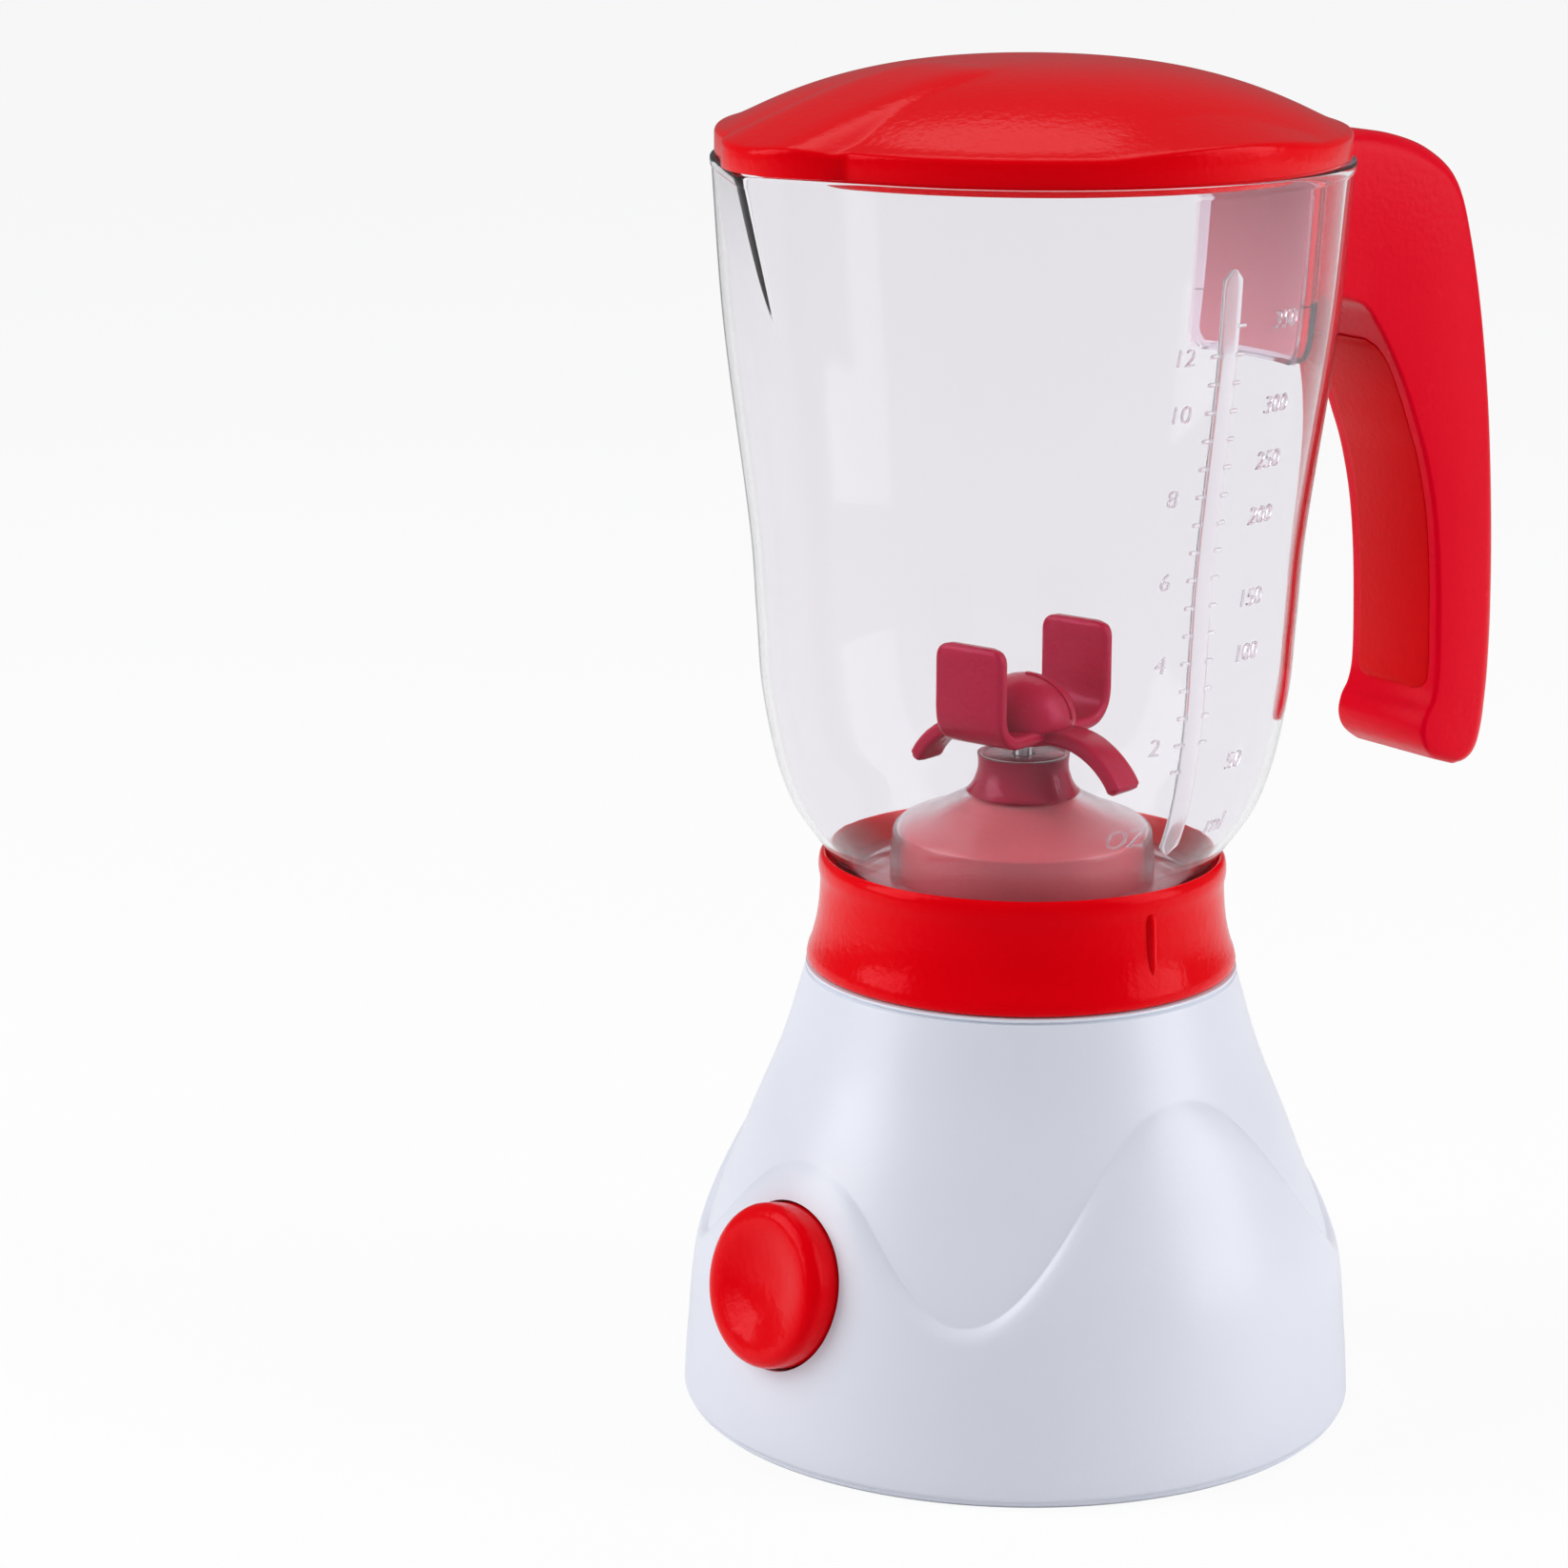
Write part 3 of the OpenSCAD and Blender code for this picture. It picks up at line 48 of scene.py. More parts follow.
# Sizes the scene shares with the CAD model, in millimetres and degrees
SEAT = 79.0
RIM = 185.8
CROWN = 199.4
RIM_RADIUS = 45.8
JUG_WALL = 1.3
SPOUT_REACH = 50.8
BASE_TOP = 67.0
PLATE = 1.2
RELIEF = 1.3
BUTTON_ANGLE = 184.0
BUTTON_HEIGHT = 26.5
BUTTON_TILT = 12.0
HINGE = (52.0, RIM - 0.1)


# ---------------------------------------------------- camera

# The photograph's view, read from its outlines. The jug's axis stands right of the picture's centre.
PHOTO_WIDTH = 1646
PHOTO_CENTRE = 823
AXIS_COLUMN = 1081.5
FOCAL_PIXELS = 4992.5
SENSOR_WIDTH = 36
CAMERA_AZIMUTH = -128.5
CAMERA_REACH = 0.679
CAMERA_HEIGHT = 0.260
CAMERA_PITCH = 13.8
CAMERA_ROLL = 0.15
SCREEN_RIGHT = CAMERA_AZIMUTH + 90


def make_camera():
    """Looks at the toy from the photograph's place, with the photograph's lens."""
    azimuth = math.radians(CAMERA_AZIMUTH)
    upright = Vector((0, 0, 1))
    forward = Vector((-math.cos(azimuth), -math.sin(azimuth), 0))
    right = forward.cross(upright)
    yaw = math.atan((AXIS_COLUMN - PHOTO_CENTRE) / FOCAL_PIXELS)
    forward = (forward * math.cos(yaw) - right * math.sin(yaw)).normalized()
    right = forward.cross(upright)
    pitch = math.radians(CAMERA_PITCH)
    look = (forward * math.cos(pitch) - upright * math.sin(pitch)).normalized()
    roll = math.radians(CAMERA_ROLL)
    up = right.cross(look) * math.cos(roll) - right * math.sin(roll)
    matrix = Matrix((look.cross(up), up, -look)).transposed().to_4x4()
    matrix.translation = (CAMERA_REACH * math.cos(azimuth), CAMERA_REACH * math.sin(azimuth), CAMERA_HEIGHT)
    data = bpy.data.cameras.new("camera")
    data.lens = FOCAL_PIXELS / PHOTO_WIDTH * SENSOR_WIDTH
    data.sensor_width = SENSOR_WIDTH
    camera = bpy.data.objects.new("camera", data)
    camera.matrix_world = matrix
    bpy.context.collection.objects.link(camera)
    bpy.context.scene.camera = camera


make_camera()


# --------------------------------------------- curves, rings

def catmull(points, steps):
    """A smooth curve through points, each a tuple of equal length."""
    out = []
    for i in range(len(points) - 1):
        a = points[max(i - 1, 0)]
        b, c = points[i], points[i + 1]
        d = points[min(i + 2, len(points) - 1)]
        for k in range(steps):
            t = k / steps
            out.append(tuple(0.5 * (2 * q + (r - p) * t + (2 * p - 5 * q + 4 * r - s) * t * t
                                    + (3 * q - p - 3 * r + s) * t ** 3)
                             for p, q, r, s in zip(a, b, c, d)))
    out.append(tuple(points[-1]))
    return out


def profile_radius(profile, z):
    """Radius at height z of the smooth curve that the CAD model uses for profiles of (radius, height)."""
    i = 0
    while i < len(profile) - 2 and z > profile[i + 1][1]:
        i += 1

    def slope(k):
        a, b = max(k - 1, 0), min(k + 1, len(profile) - 1)
        return (profile[b][0] - profile[a][0]) / (profile[b][1] - profile[a][1])

    h = profile[i + 1][1] - profile[i][1]
    t = (z - profile[i][1]) / h
    return ((2 * t ** 3 - 3 * t * t + 1) * profile[i][0] + (t ** 3 - 2 * t * t + t) * slope(i) * h
            + (3 * t * t - 2 * t ** 3) * profile[i + 1][0] + (t ** 3 - t * t) * slope(i + 1) * h)


def direction_at(line, i):
    """Direction of a line of points in a plane, at its point i."""
    a, b = line[max(i - 1, 0)], line[min(i + 1, len(line) - 1)]
    return Vector((b[0] - a[0], b[1] - a[1])).normalized()


def offset_line(line, depth):
    """The line moved under its own skin, to the left of its direction."""
    out = []
    for i, p in enumerate(line):
        t = direction_at(line, i)
        out.append((p[0] - depth * t.y, p[1] + depth * t.x))
    return out


def full_turn(count):
    """Angles of a full turn in equal steps."""
    return [2 * math.pi * k / count for k in range(count)]


def circle(radius, z, angles):
    return [(radius * math.cos(a), radius * math.sin(a), z) for a in angles]


def revolve(profile, count):
    """Rings of a profile of (radius, height), turned about Z."""
    return [circle(r, z, full_turn(count)) for r, z in profile]


def loop_faces(rings, closed=True):
    """Points and faces of the skin over rings of equal length, with a cap at each end if it is closed."""
    n = len(rings[0])
    points = [p for ring in rings for p in ring]
    faces = []
    for j in range(len(rings) - 1):
        for i in range(n):
            k = (i + 1) % n
            faces.append((j * n + i, j * n + k, (j + 1) * n + k, (j + 1) * n + i))
    if closed:
        faces.append(tuple(reversed(range(n))))
        faces.append(tuple(range((len(rings) - 1) * n, len(rings) * n)))
    return points, faces


def endless_faces(rings):
    """Points and faces of the skin over rings, where the last ring is joined to the first."""
    points, faces = loop_faces(rings, closed=False)
    n, last = len(rings[0]), len(rings) - 1
    faces += [(i, last * n + i, last * n + (i + 1) % n, (i + 1) % n) for i in range(n)]
    return points, faces


def add_shape(points, faces, more, shapes):
    """Adds one shape's points and faces to a mesh that is being put together."""
    start = len(points)
    points.extend(more)
    faces.extend(tuple(i + start for i in face) for face in shapes)


# ---------------------------------------------------- pieces

def new_object(name, points, faces, body, smooth=True):
    """A mesh from points in millimetres, in the row frame, that rides on a body."""
    mesh = bpy.data.meshes.new(name)
    mesh.from_pydata([Vector(p) * MM for p in points], [], faces)
    mesh.validate()
    mesh.update()
    obj = bpy.data.objects.new(name, mesh)
    bpy.context.collection.objects.link(obj)
    for polygon in mesh.polygons:
        polygon.use_smooth = smooth
    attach(obj, body)
    return obj


def recalc(obj, merge=False):
    """Turns a piece's faces outwards, and first joins points that coincide if merge says so."""
    work = bmesh.new()
    work.from_mesh(obj.data)
    if merge:
        bmesh.ops.remove_doubles(work, verts=work.verts, dist=1e-7)
    bmesh.ops.recalc_face_normals(work, faces=work.faces)
    work.to_mesh(obj.data)
    work.free()


def skin_piece(name, rings, body, closed=True, smooth=True):
    """A piece skinned over rings of points."""
    obj = new_object(name, *loop_faces(rings, closed), body, smooth)
    recalc(obj)
    return obj


def turned_piece(name, outline, body, count):
    """A piece with a closed outline of (radius, height), turned about Z."""
    return skin_piece(name, revolve(outline + outline[:1], count), body, closed=False)


def sharp_by_angle(obj, degrees):
    """Smooth shading with hard edges kept where faces meet at more than an angle."""
    mesh = obj.data
    for polygon in mesh.polygons:
        polygon.use_smooth = True
    work = bmesh.new()
    work.from_mesh(mesh)
    limit = math.radians(degrees)
    for edge in work.edges:
        if len(edge.link_faces) == 2:
            edge.smooth = edge.calc_face_angle(0) < limit
    work.to_mesh(mesh)
    work.free()


def paint(obj, material):
    mesh = obj.data
    if mesh.materials:
        for i in range(len(mesh.materials)):
            mesh.materials[i] = material
    else:
        mesh.materials.append(material)


def dress(obj, material, degrees):
    """Gives a piece its hard edges and its material."""
    sharp_by_angle(obj, degrees)
    paint(obj, material)


def cut(obj, cutter):
    """Takes cutter's shape out of obj and deletes the cutter."""
    modifier = obj.modifiers.new("cut", "BOOLEAN")
    modifier.operation = "DIFFERENCE"
    modifier.solver = "EXACT"
    modifier.object = cutter
    graph = bpy.context.evaluated_depsgraph_get()
    mesh = bpy.data.meshes.new_from_object(obj.evaluated_get(graph))
    obj.modifiers.remove(modifier)
    old = obj.data
    obj.data = mesh
    bpy.data.meshes.remove(old)
    bpy.data.objects.remove(cutter)


# ------------------------------------------------- materials

def new_material(name):
    """A material, its node tree, its Principled shader and the object's own coordinates."""
    material = bpy.data.materials.new(name)
    material.use_nodes = True
    tree = material.node_tree
    place = tree.nodes.new("ShaderNodeTexCoord").outputs["Object"]
    return material, tree, tree.nodes["Principled BSDF"], place


def add_noise(tree, place, scale, detail, roughness=0.5):
    noise = tree.nodes.new("ShaderNodeTexNoise")
    noise.inputs["Scale"].default_value = scale
    noise.inputs["Detail"].default_value = detail
    noise.inputs["Roughness"].default_value = roughness
    tree.links.new(place, noise.inputs["Vector"])
    return noise.outputs["Fac"]


def add_ramp(tree, share, low, high, start, end, target):
    """Colours from low to high as share goes from start to end, sent to a socket."""
    ramp = tree.nodes.new("ShaderNodeValToRGB")
    first, second = ramp.color_ramp.elements
    first.position, first.color = start, (*low, 1)
    second.position, second.color = end, (*high, 1)
    tree.links.new(share, ramp.inputs["Fac"])
    tree.links.new(ramp.outputs["Color"], target)


def add_range(tree, share, low, high, start, end, target):
    """Numbers from low to high as share goes from start to end, sent to a socket."""
    spread = tree.nodes.new("ShaderNodeMapRange")
    spread.inputs["From Min"].default_value = start
    spread.inputs["From Max"].default_value = end
    spread.inputs["To Min"].default_value = low
    spread.inputs["To Max"].default_value = high
    tree.links.new(share, spread.inputs["Value"])
    tree.links.new(spread.outputs["Result"], target)


def add_bump(tree, height, strength, distance, target):
    relief = tree.nodes.new("ShaderNodeBump")
    relief.inputs["Strength"].default_value = strength
    relief.inputs["Distance"].default_value = distance
    tree.links.new(height, relief.inputs["Height"])
    tree.links.new(relief.outputs["Normal"], target)


def mix_shaders(tree, share, first, second, output):
    """Sends a mix of two shaders to an output node."""
    mix = tree.nodes.new("ShaderNodeMixShader")
    tree.links.new(share, mix.inputs["Fac"])
    tree.links.new(first.outputs[0], mix.inputs[1])
    tree.links.new(second.outputs[0], mix.inputs[2])
    tree.links.new(mix.outputs[0], output.inputs["Surface"])


def plastic(name, colour, rough, coat=0.0, mottle=0.03, scuff=0.35, bump=0.0006, ior=1.5,
            gloss_tint=None):
    """Moulded plastic: faint colour mottling, fine mould texture, light rub marks in the gloss."""
    material, tree, shader, place = new_material(name)
    broad = add_noise(tree, place, scale=26.0, detail=3.0)
    low = tuple(c * (1 - mottle) for c in colour)
    high = tuple(min(1.0, c * (1 + mottle * 0.6)) for c in colour)
    add_ramp(tree, broad, low, high, 0.3, 0.7, shader.inputs["Base Color"])
    marks = add_noise(tree, place, scale=95.0, detail=5.0, roughness=0.65)
    add_range(tree, marks, rough, rough * (1 + scuff), 0.35, 0.75, shader.inputs["Roughness"])
    grain = add_noise(tree, place, scale=900.0, detail=2.0)
    add_bump(tree, grain, 0.12, bump, shader.inputs["Normal"])
    shader.inputs["IOR"].default_value = ior
    if gloss_tint:
        shader.inputs["Specular Tint"].default_value = (*gloss_tint, 1)
    shader.inputs["Coat Weight"].default_value = coat
    shader.inputs["Coat Roughness"].default_value = 0.08
    return material


def metal(name, colour, rough):
    """Turned metal, with lines round its axis in gloss and tint."""
    material, tree, shader, place = new_material(name)
    shader.inputs["Metallic"].default_value = 1.0
    stretch = tree.nodes.new("ShaderNodeMapping")
    stretch.inputs["Scale"].default_value = (1, 1, 14)
    tree.links.new(place, stretch.inputs["Vector"])
    lines = add_noise(tree, stretch.outputs["Vector"], scale=260.0, detail=4.0)
    add_range(tree, lines, rough * 0.8, rough * 1.3, 0, 1, shader.inputs["Roughness"])
    add_ramp(tree, lines, [c * 0.9 for c in colour], colour, 0, 1, shader.inputs["Base Color"])
    return material


def clear_plastic(name, tint=(0.915, 0.905, 0.928), rough=0.02, ior=1.17, milk=0.006):
    """Clear moulded plastic with a trace of haze and flow lines, which lets the lamps shine through."""
    material, tree, shader, place = new_material(name)
    shader.inputs["Transmission Weight"].default_value = 1.0 - milk
    shader.inputs["IOR"].default_value = ior
    cloud = add_noise(tree, place, scale=18.0, detail=2.0)
    add_ramp(tree, cloud, [c * 0.99 for c in tint], tint, 0, 1, shader.inputs["Base Color"])
    add_range(tree, cloud, rough * 0.6, rough * 1.5, 0, 1, shader.inputs["Roughness"])
    flow = add_noise(tree, place, scale=34.0, detail=2.0)
    add_bump(tree, flow, 0.008, 0.0004, shader.inputs["Normal"])
    path = tree.nodes.new("ShaderNodeLightPath")
    through = tree.nodes.new("ShaderNodeBsdfTransparent")
    through.inputs["Color"].default_value = (0.93, 0.93, 0.94, 1)
    mix_shaders(tree, path.outputs["Is Shadow Ray"], shader, through, tree.nodes["Material Output"])
    return material


RED_GLOSS = (1.0, 0.06, 0.10)
CRIMSON_GLOSS = (1.0, 0.2, 0.4)
WHITE = plastic("white_plastic", (0.74, 0.765, 0.85), rough=0.3, mottle=0.012, scuff=0.25, bump=0.0002)
RED = plastic("red_plastic", (0.76, 0.0002, 0.004), rough=0.16, ior=1.33, gloss_tint=RED_GLOSS)
HANDLE_RED = plastic("handle_red", (0.70, 0.0004, 0.014), rough=0.22, ior=1.3, gloss_tint=RED_GLOSS)
GRIP_RED = plastic("grip_red", (0.60, 0.002, 0.004), rough=0.3, mottle=0.05, ior=1.25,
                   gloss_tint=RED_GLOSS)
CRIMSON = plastic("crimson_plastic", (0.28, 0.0006, 0.022), rough=0.22, mottle=0.06, ior=1.38,
                  gloss_tint=CRIMSON_GLOSS)
DOME_RED = plastic("dome_red", (0.46, 0.01, 0.03), rough=0.35, mottle=0.05)
CLEAR = clear_plastic("clear_plastic_moulded")
CLOUDED = clear_plastic("clear_plastic_clouded", tint=(0.99, 0.88, 0.97), rough=0.16, milk=0.24)
FIGURES = clear_plastic("clear_plastic_figures", tint=(0.84, 0.78, 0.83), rough=0.1, ior=1.3, milk=0.12)
HAZED = clear_plastic("clear_plastic_hazed", tint=(0.96, 0.87, 0.89), rough=0.2, milk=0.045)
MARKS = clear_plastic("clear_plastic_marks", tint=(0.93, 0.9, 0.93), rough=0.12, ior=1.4, milk=0.22)
STEEL = metal("steel_turned", (0.56, 0.57, 0.58), rough=0.28)
BRASS = metal("brass_turned", (0.72, 0.52, 0.2), rough=0.3)
NYLON = plastic("natural_acetal", (0.78, 0.76, 0.68), rough=0.4)
DARK = plastic("dark_nylon", (0.03, 0.03, 0.035), rough=0.45, mottle=0.2)
FOIL = plastic("cell_jacket", (0.70, 0.52, 0.16), rough=0.3, coat=0.3, mottle=0.1)

LOOK = {
    "base_housing": WHITE, "bottom_plate": WHITE, "battery_door": WHITE, "gear_frame": WHITE,
    "gear_cover": WHITE, "button_guide": WHITE, "battery_door_screw": STEEL, "base_screws": STEEL,
    "gearbox_screws": STEEL, "motor_can": STEEL, "motor_shaft": STEEL, "idler_axle": STEEL,
    "drive_shaft": STEEL, "button_spring": STEEL, "blade_shaft": STEEL, "lid_hinge_pin": STEEL,
    "battery_cells": FOIL, "battery_contacts": BRASS, "motor_pinion": BRASS, "motor_end_cap": DARK,
    "switch_body": DARK, "neck_bush": CRIMSON, "reduction_gear": NYLON, "output_gear": NYLON,
    "drive_dog": NYLON, "blade_dog": NYLON, "collar": RED, "drive_dome": DOME_RED, "power_button": RED,
    "switch_plunger": RED, "blade_rotor": CRIMSON, "jug": CLEAR, "handle_shell": HANDLE_RED,
    "handle_cover": GRIP_RED, "lid": RED,
}
for node_name, material in LOOK.items():
    paint(NODES[node_name], material)


# ---------------------------------------------- base housing

BASE_PROFILE = [(48.7, 0), (48.1, 10), (46.4, 25), (40.4, 42), (35.3, 54.6), (31.6, BASE_TOP)]
HOUSING_WALL = 2.0
HOUSING_COLUMNS = 288
DECK_UNDERSIDE = 64.5
DECK_HOLE = 16.0
# The relief's edge is a wave round the base: where it turns, in degrees from the button, and the
# heights it turns at
NEAR_TROUGH, SIDE_HUMP, FAR_TROUGH = 38.0, 87.0, 135.0
HUMP, TROUGH, HIGH_HUMP = 43.5, 25.5, 54.0
# Rows over the relief's edge: (share of its depth below the wave, share of the relief)
FILLET = [(1.25, 1.0), (1.12, 0.995), (1.0, 0.985), (0.86, 0.955), (0.72, 0.90), (0.58, 0.81),
          (0.45, 0.69), (0.34, 0.56), (0.24, 0.42), (0.16, 0.28), (0.09, 0.14), (0.04, 0.05),
          (0.0, 0.01), (-0.08, 0.0)]


def swell(t):
    """Rise of the wave from a trough at 0 to a crest at 1."""
    return (1 - math.cos(math.pi * t)) / 2 + 0.12 * math.sin(math.pi * t) ** 2


def hump_share(angle):
    """How far the wave has risen at an angle, and the height of the crest that it rises to."""
    d = abs((angle - BUTTON_ANGLE + 900) % 360 - 180)
    if d < NEAR_TROUGH:
        return swell(1 - d / NEAR_TROUGH), HUMP
    if d < SIDE_HUMP:
        return swell((d - NEAR_TROUGH) / (SIDE_HUMP - NEAR_TROUGH)), HIGH_HUMP
    if d < FAR_TROUGH:
        return swell((FAR_TROUGH - d) / (FAR_TROUGH - SIDE_HUMP)), HIGH_HUMP
    return swell((d - FAR_TROUGH) / (180 - FAR_TROUGH)), HUMP


def base_rows(angle):
    """Rows of (height, share of the relief) up the base's side at an angle."""
    share, crest = hump_share(angle)
    edge = TROUGH + (crest - TROUGH) * share
    depth = 2.5 + 3.2 * share
    rows = [(PLATE, 0.70), (PLATE + 0.12, 0.85), (PLATE + 0.35, 0.95), (PLATE + 0.7, 1.0)]
    low, high = PLATE + 0.7, edge - depth * FILLET[0][0]
    rows += [(low + (high - low) * k / 14, 1.0) for k in range(1, 14)]
    rows += [(edge - depth * f, r) for f, r in FILLET]
    low, high = edge + 0.08 * depth, BASE_TOP - 1.0
    rows += [(low + (high - low) * k / 22, 0.0) for k in range(1, 23)]
    rows += [(BASE_TOP - 0.85, -0.25), (BASE_TOP - 0.7, -0.3), (BASE_TOP - 0.45, 0.1),
             (BASE_TOP - 0.12, 0.12)]
    return rows


def base_point(angle, z, relief):
    r = profile_radius(BASE_PROFILE, z) + RELIEF * relief
    return (r * math.cos(angle), r * math.sin(angle), z)


def make_housing():
    """The base's shell: its side with the relief, its deck with the drive's hole, and its inside."""
    degrees = [360 * i / HOUSING_COLUMNS for i in range(HOUSING_COLUMNS)]
    columns = [base_rows(a) for a in degrees]
    angles = [math.radians(a) for a in degrees]
    rings = [[base_point(a, *rows[k]) for a, rows in zip(angles, columns)] for k in range(len(columns[0]))]
    deck = ((31.2, BASE_TOP - 0.02), (DECK_HOLE, BASE_TOP - 0.02), (DECK_HOLE, DECK_UNDERSIDE))
    rings += [circle(r, z, angles) for r, z in deck]
    for k in range(16):
        z = DECK_UNDERSIDE + (PLATE - DECK_UNDERSIDE) * k / 15
        rings.append(circle(profile_radius(BASE_PROFILE, z) - HOUSING_WALL, z, angles))
    return new_object("housing_skin", *endless_faces(rings), "base")


def button_matrix():
    """The button's own frame, with Z out of the base's side along the button's axis."""
    r = profile_radius(BASE_PROFILE, BUTTON_HEIGHT) + RELIEF
    a = math.radians(BUTTON_ANGLE)
    place = Vector((r * math.cos(a), r * math.sin(a), BUTTON_HEIGHT)) * MM
    turn = Matrix.Rotation(a, 4, "Z") @ Matrix.Rotation(math.radians(90 - BUTTON_TILT), 4, "Y")
    return Matrix.Translation(place) @ turn


BUTTON = button_matrix()


def in_button_frame(rings):
    return [[tuple(BUTTON @ (Vector(p) * MM) / MM) for p in ring] for ring in rings]


WELL_OUTLINE = [(12.3, -12), (12.3, -1.1), (12.55, -0.55), (13.1, -0.1), (13.6, 6)]

housing = make_housing()
recalc(housing)
cut(housing, skin_piece("well_cutter", in_button_frame(revolve(WELL_OUTLINE, 96)), "base"))
dress(housing, WHITE, 40)
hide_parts("base_housing")


# --------------------------------------- push button, spring

# The cap's outline from the middle of its face to the middle of its hollow, in the button's frame
CAP_OUTLINE = [(0.001, 1.55), (3, 1.65), (5.6, 2.1), (7.6, 2.7), (8.8, 2.9), (9.6, 2.98), (10.4, 2.92),
               (11.1, 2.66), (11.6, 2.2), (11.88, 1.6), (11.95, 0.9), (11.95, -4), (12.7, -4),
               (12.7, -5.4), (10.6, -5.4), (10.6, 0.64), (0.001, 0.64)]
SPRING_LOW = -8.53
SPRING_HIGH = 0.11
SPRING_RADIUS = 5.2
SPRING_WIRE = 0.45
SPRING_STEPS = 32
SPRING_TOTAL = 5 * SPRING_STEPS


def make_button():
    rings = in_button_frame(revolve(CAP_OUTLINE, 96))
    button = skin_piece("button_cap", rings, "button", closed=False)
    dress(button, RED, 50)
    return button


def make_spring():
    """Return spring behind the button, in place of the CAD spring, with a mesh of its own."""
    rings = []
    for k in range(SPRING_TOTAL + 1):
        a = 2 * math.pi * k / SPRING_STEPS
        z = SPRING_LOW + (SPRING_HIGH - SPRING_LOW) * k / SPRING_TOTAL
        ring = []
        for b in full_turn(10):
            r = SPRING_RADIUS + SPRING_WIRE * math.cos(b)
            ring.append((r * math.cos(a), r * math.sin(a), z + SPRING_WIRE * math.sin(b)))
        rings.append(ring)
    spring = skin_piece("return_spring", in_button_frame(rings), "base")
    paint(spring, STEEL)
    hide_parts("button_spring")
    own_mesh(spring)


# ---------------------------------------------------- collar

COLLAR_OUTLINE = [
    (20, 67.05), (31.0, 67.05), (31.45, 67.25), (31.68, 67.6), (31.7, 68.1), (31.45, 69.2), (31.0, 70.3),
    (30.55, 72.0), (30.2, 73.6), (29.95, 75.5), (29.8, 77.4), (29.72, 79.0), (29.78, 80.0), (29.95, 80.7),
    (30.02, 81.4), (29.98, 82.2), (29.85, 82.9), (29.6, 83.35), (29.3, 83.58), (29.05, 83.5),
    (28.93, 83.2), (28.9, 82.6), (28.9, 77.45), (26.4, 77.45), (26.4, 75.8), (27.9, 74.0), (28.3, 68.5),
    (20, 68.5)]
RIB_RADIUS = 29.45
RIB_HALF = 0.75
# Sections of the rib on each side: (height, share of its full width)
RIB_SECTIONS = ((71.2, 0.25), (71.6, 0.75), (72.4, 1), (79.6, 1), (80.2, 0.8), (80.5, 0.3))


def rib_ring(z, share, turn):
    """Section of a rib, which leans out with the collar's flare below 76 mm."""
    ring = []
    for b in full_turn(16):
        x = RIB_RADIUS + share * math.cos(b) + max(0, (76 - z) * 0.12)
        y = RIB_HALF * share * math.sin(b)
        ring.append((x * math.cos(turn) - y * math.sin(turn), x * math.sin(turn) + y * math.cos(turn), z))
    return ring


def make_collar():
    rings = revolve(COLLAR_OUTLINE + COLLAR_OUTLINE[:1], 160)
    collar = new_object("collar_ring", *loop_faces(rings, closed=False), "base")
    recalc(collar, merge=True)
    dress(collar, RED, 45)
    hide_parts("collar")
    for name, turn in (("collar_rib_a", math.pi / 2), ("collar_rib_b", -math.pi / 2)):
        piece = skin_piece(name, [rib_ring(z, share, turn) for z, share in RIB_SECTIONS], "base")
        paint(piece, RED)


button_cap = make_button()
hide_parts("power_button")
make_spring()
make_collar()


# ------------------------------------------------------- jug

JUG_PROFILE = [(27.2, 79.0), (27.5, 81), (28.2, 83.2), (34.5, 92.7), (38.15, 107), (39.2, 119),
               (40.05, 131), (44.05, 162.1), (RIM_RADIUS, RIM)]
SPOUT_ROUND = 4.4
SPOUT_HEIGHT = 25.5
SPOUT_SPREAD = 32
POCKET_HALF = 13.0
POCKET_LOW = RIM - 33.0
# The floor's inner dome, and the inner edge of the neck that it ends in
DOME_LINE = catmull([(19.5, SEAT + 1.2), (19.3, 84.8), (18.4, 87.8), (13.2, 90.1), (8.4, 92.8), (6.8, 95.8),
                     (6.8, 98.4)], 6)
NECK_EDGE = [(6.7, 98.4), (6.3, 98.4), (5.75, 98.0)]
DOME_WALL = 1.15
NECK_BORE = 5.6


def jug_radius(z):
    return profile_radius(JUG_PROFILE, min(z, RIM))


def spout_plan(wall, centre, radius):
    """Plan outline near the spout, as a function from the angle off the spout to a radius: the round
    tip, a flat that touches it, then the wall."""
    if centre + radius <= wall + 0.01:
        return lambda d: wall
    touch = math.acos(min(1.0, (wall - radius) / centre))
    tip = math.atan2(radius * math.sin(touch), centre + radius * math.cos(touch))

    def reach(d):
        d = abs(d)
        if d >= touch:
            return wall
        if d > tip:
            return wall / math.cos(touch - d)
        return centre * math.cos(d) + math.sqrt(max(0.0, radius ** 2 - (centre * math.sin(d)) ** 2))
    return reach


def spout_lift(z):
    """Share of the spout's full reach at height z, 0 at its keel and 1 at the rim."""
    return max(0.0, min(1.0, (z - (RIM - SPOUT_HEIGHT)) / SPOUT_HEIGHT))


def jug_ring(z, inset, angles, bead=0.0):
    """The jug's outline at height z, inset under its skin or a bead's width proud of it."""
    wall = jug_radius(z) - inset + bead
    lift = spout_lift(z)
    radius = SPOUT_ROUND * (1.6 - 0.6 * lift) - inset
    tip = wall
    if lift > 0:
        keel = profile_radius(JUG_PROFILE, RIM - SPOUT_HEIGHT) - inset + bead
        tip = max(wall, keel * (1 - lift) + (SPOUT_REACH - inset + bead) * lift)
    plan = spout_plan(wall, tip - radius, radius)
    return [(plan(a - math.pi) * math.cos(a), plan(a - math.pi) * math.sin(a), z) for a in angles]


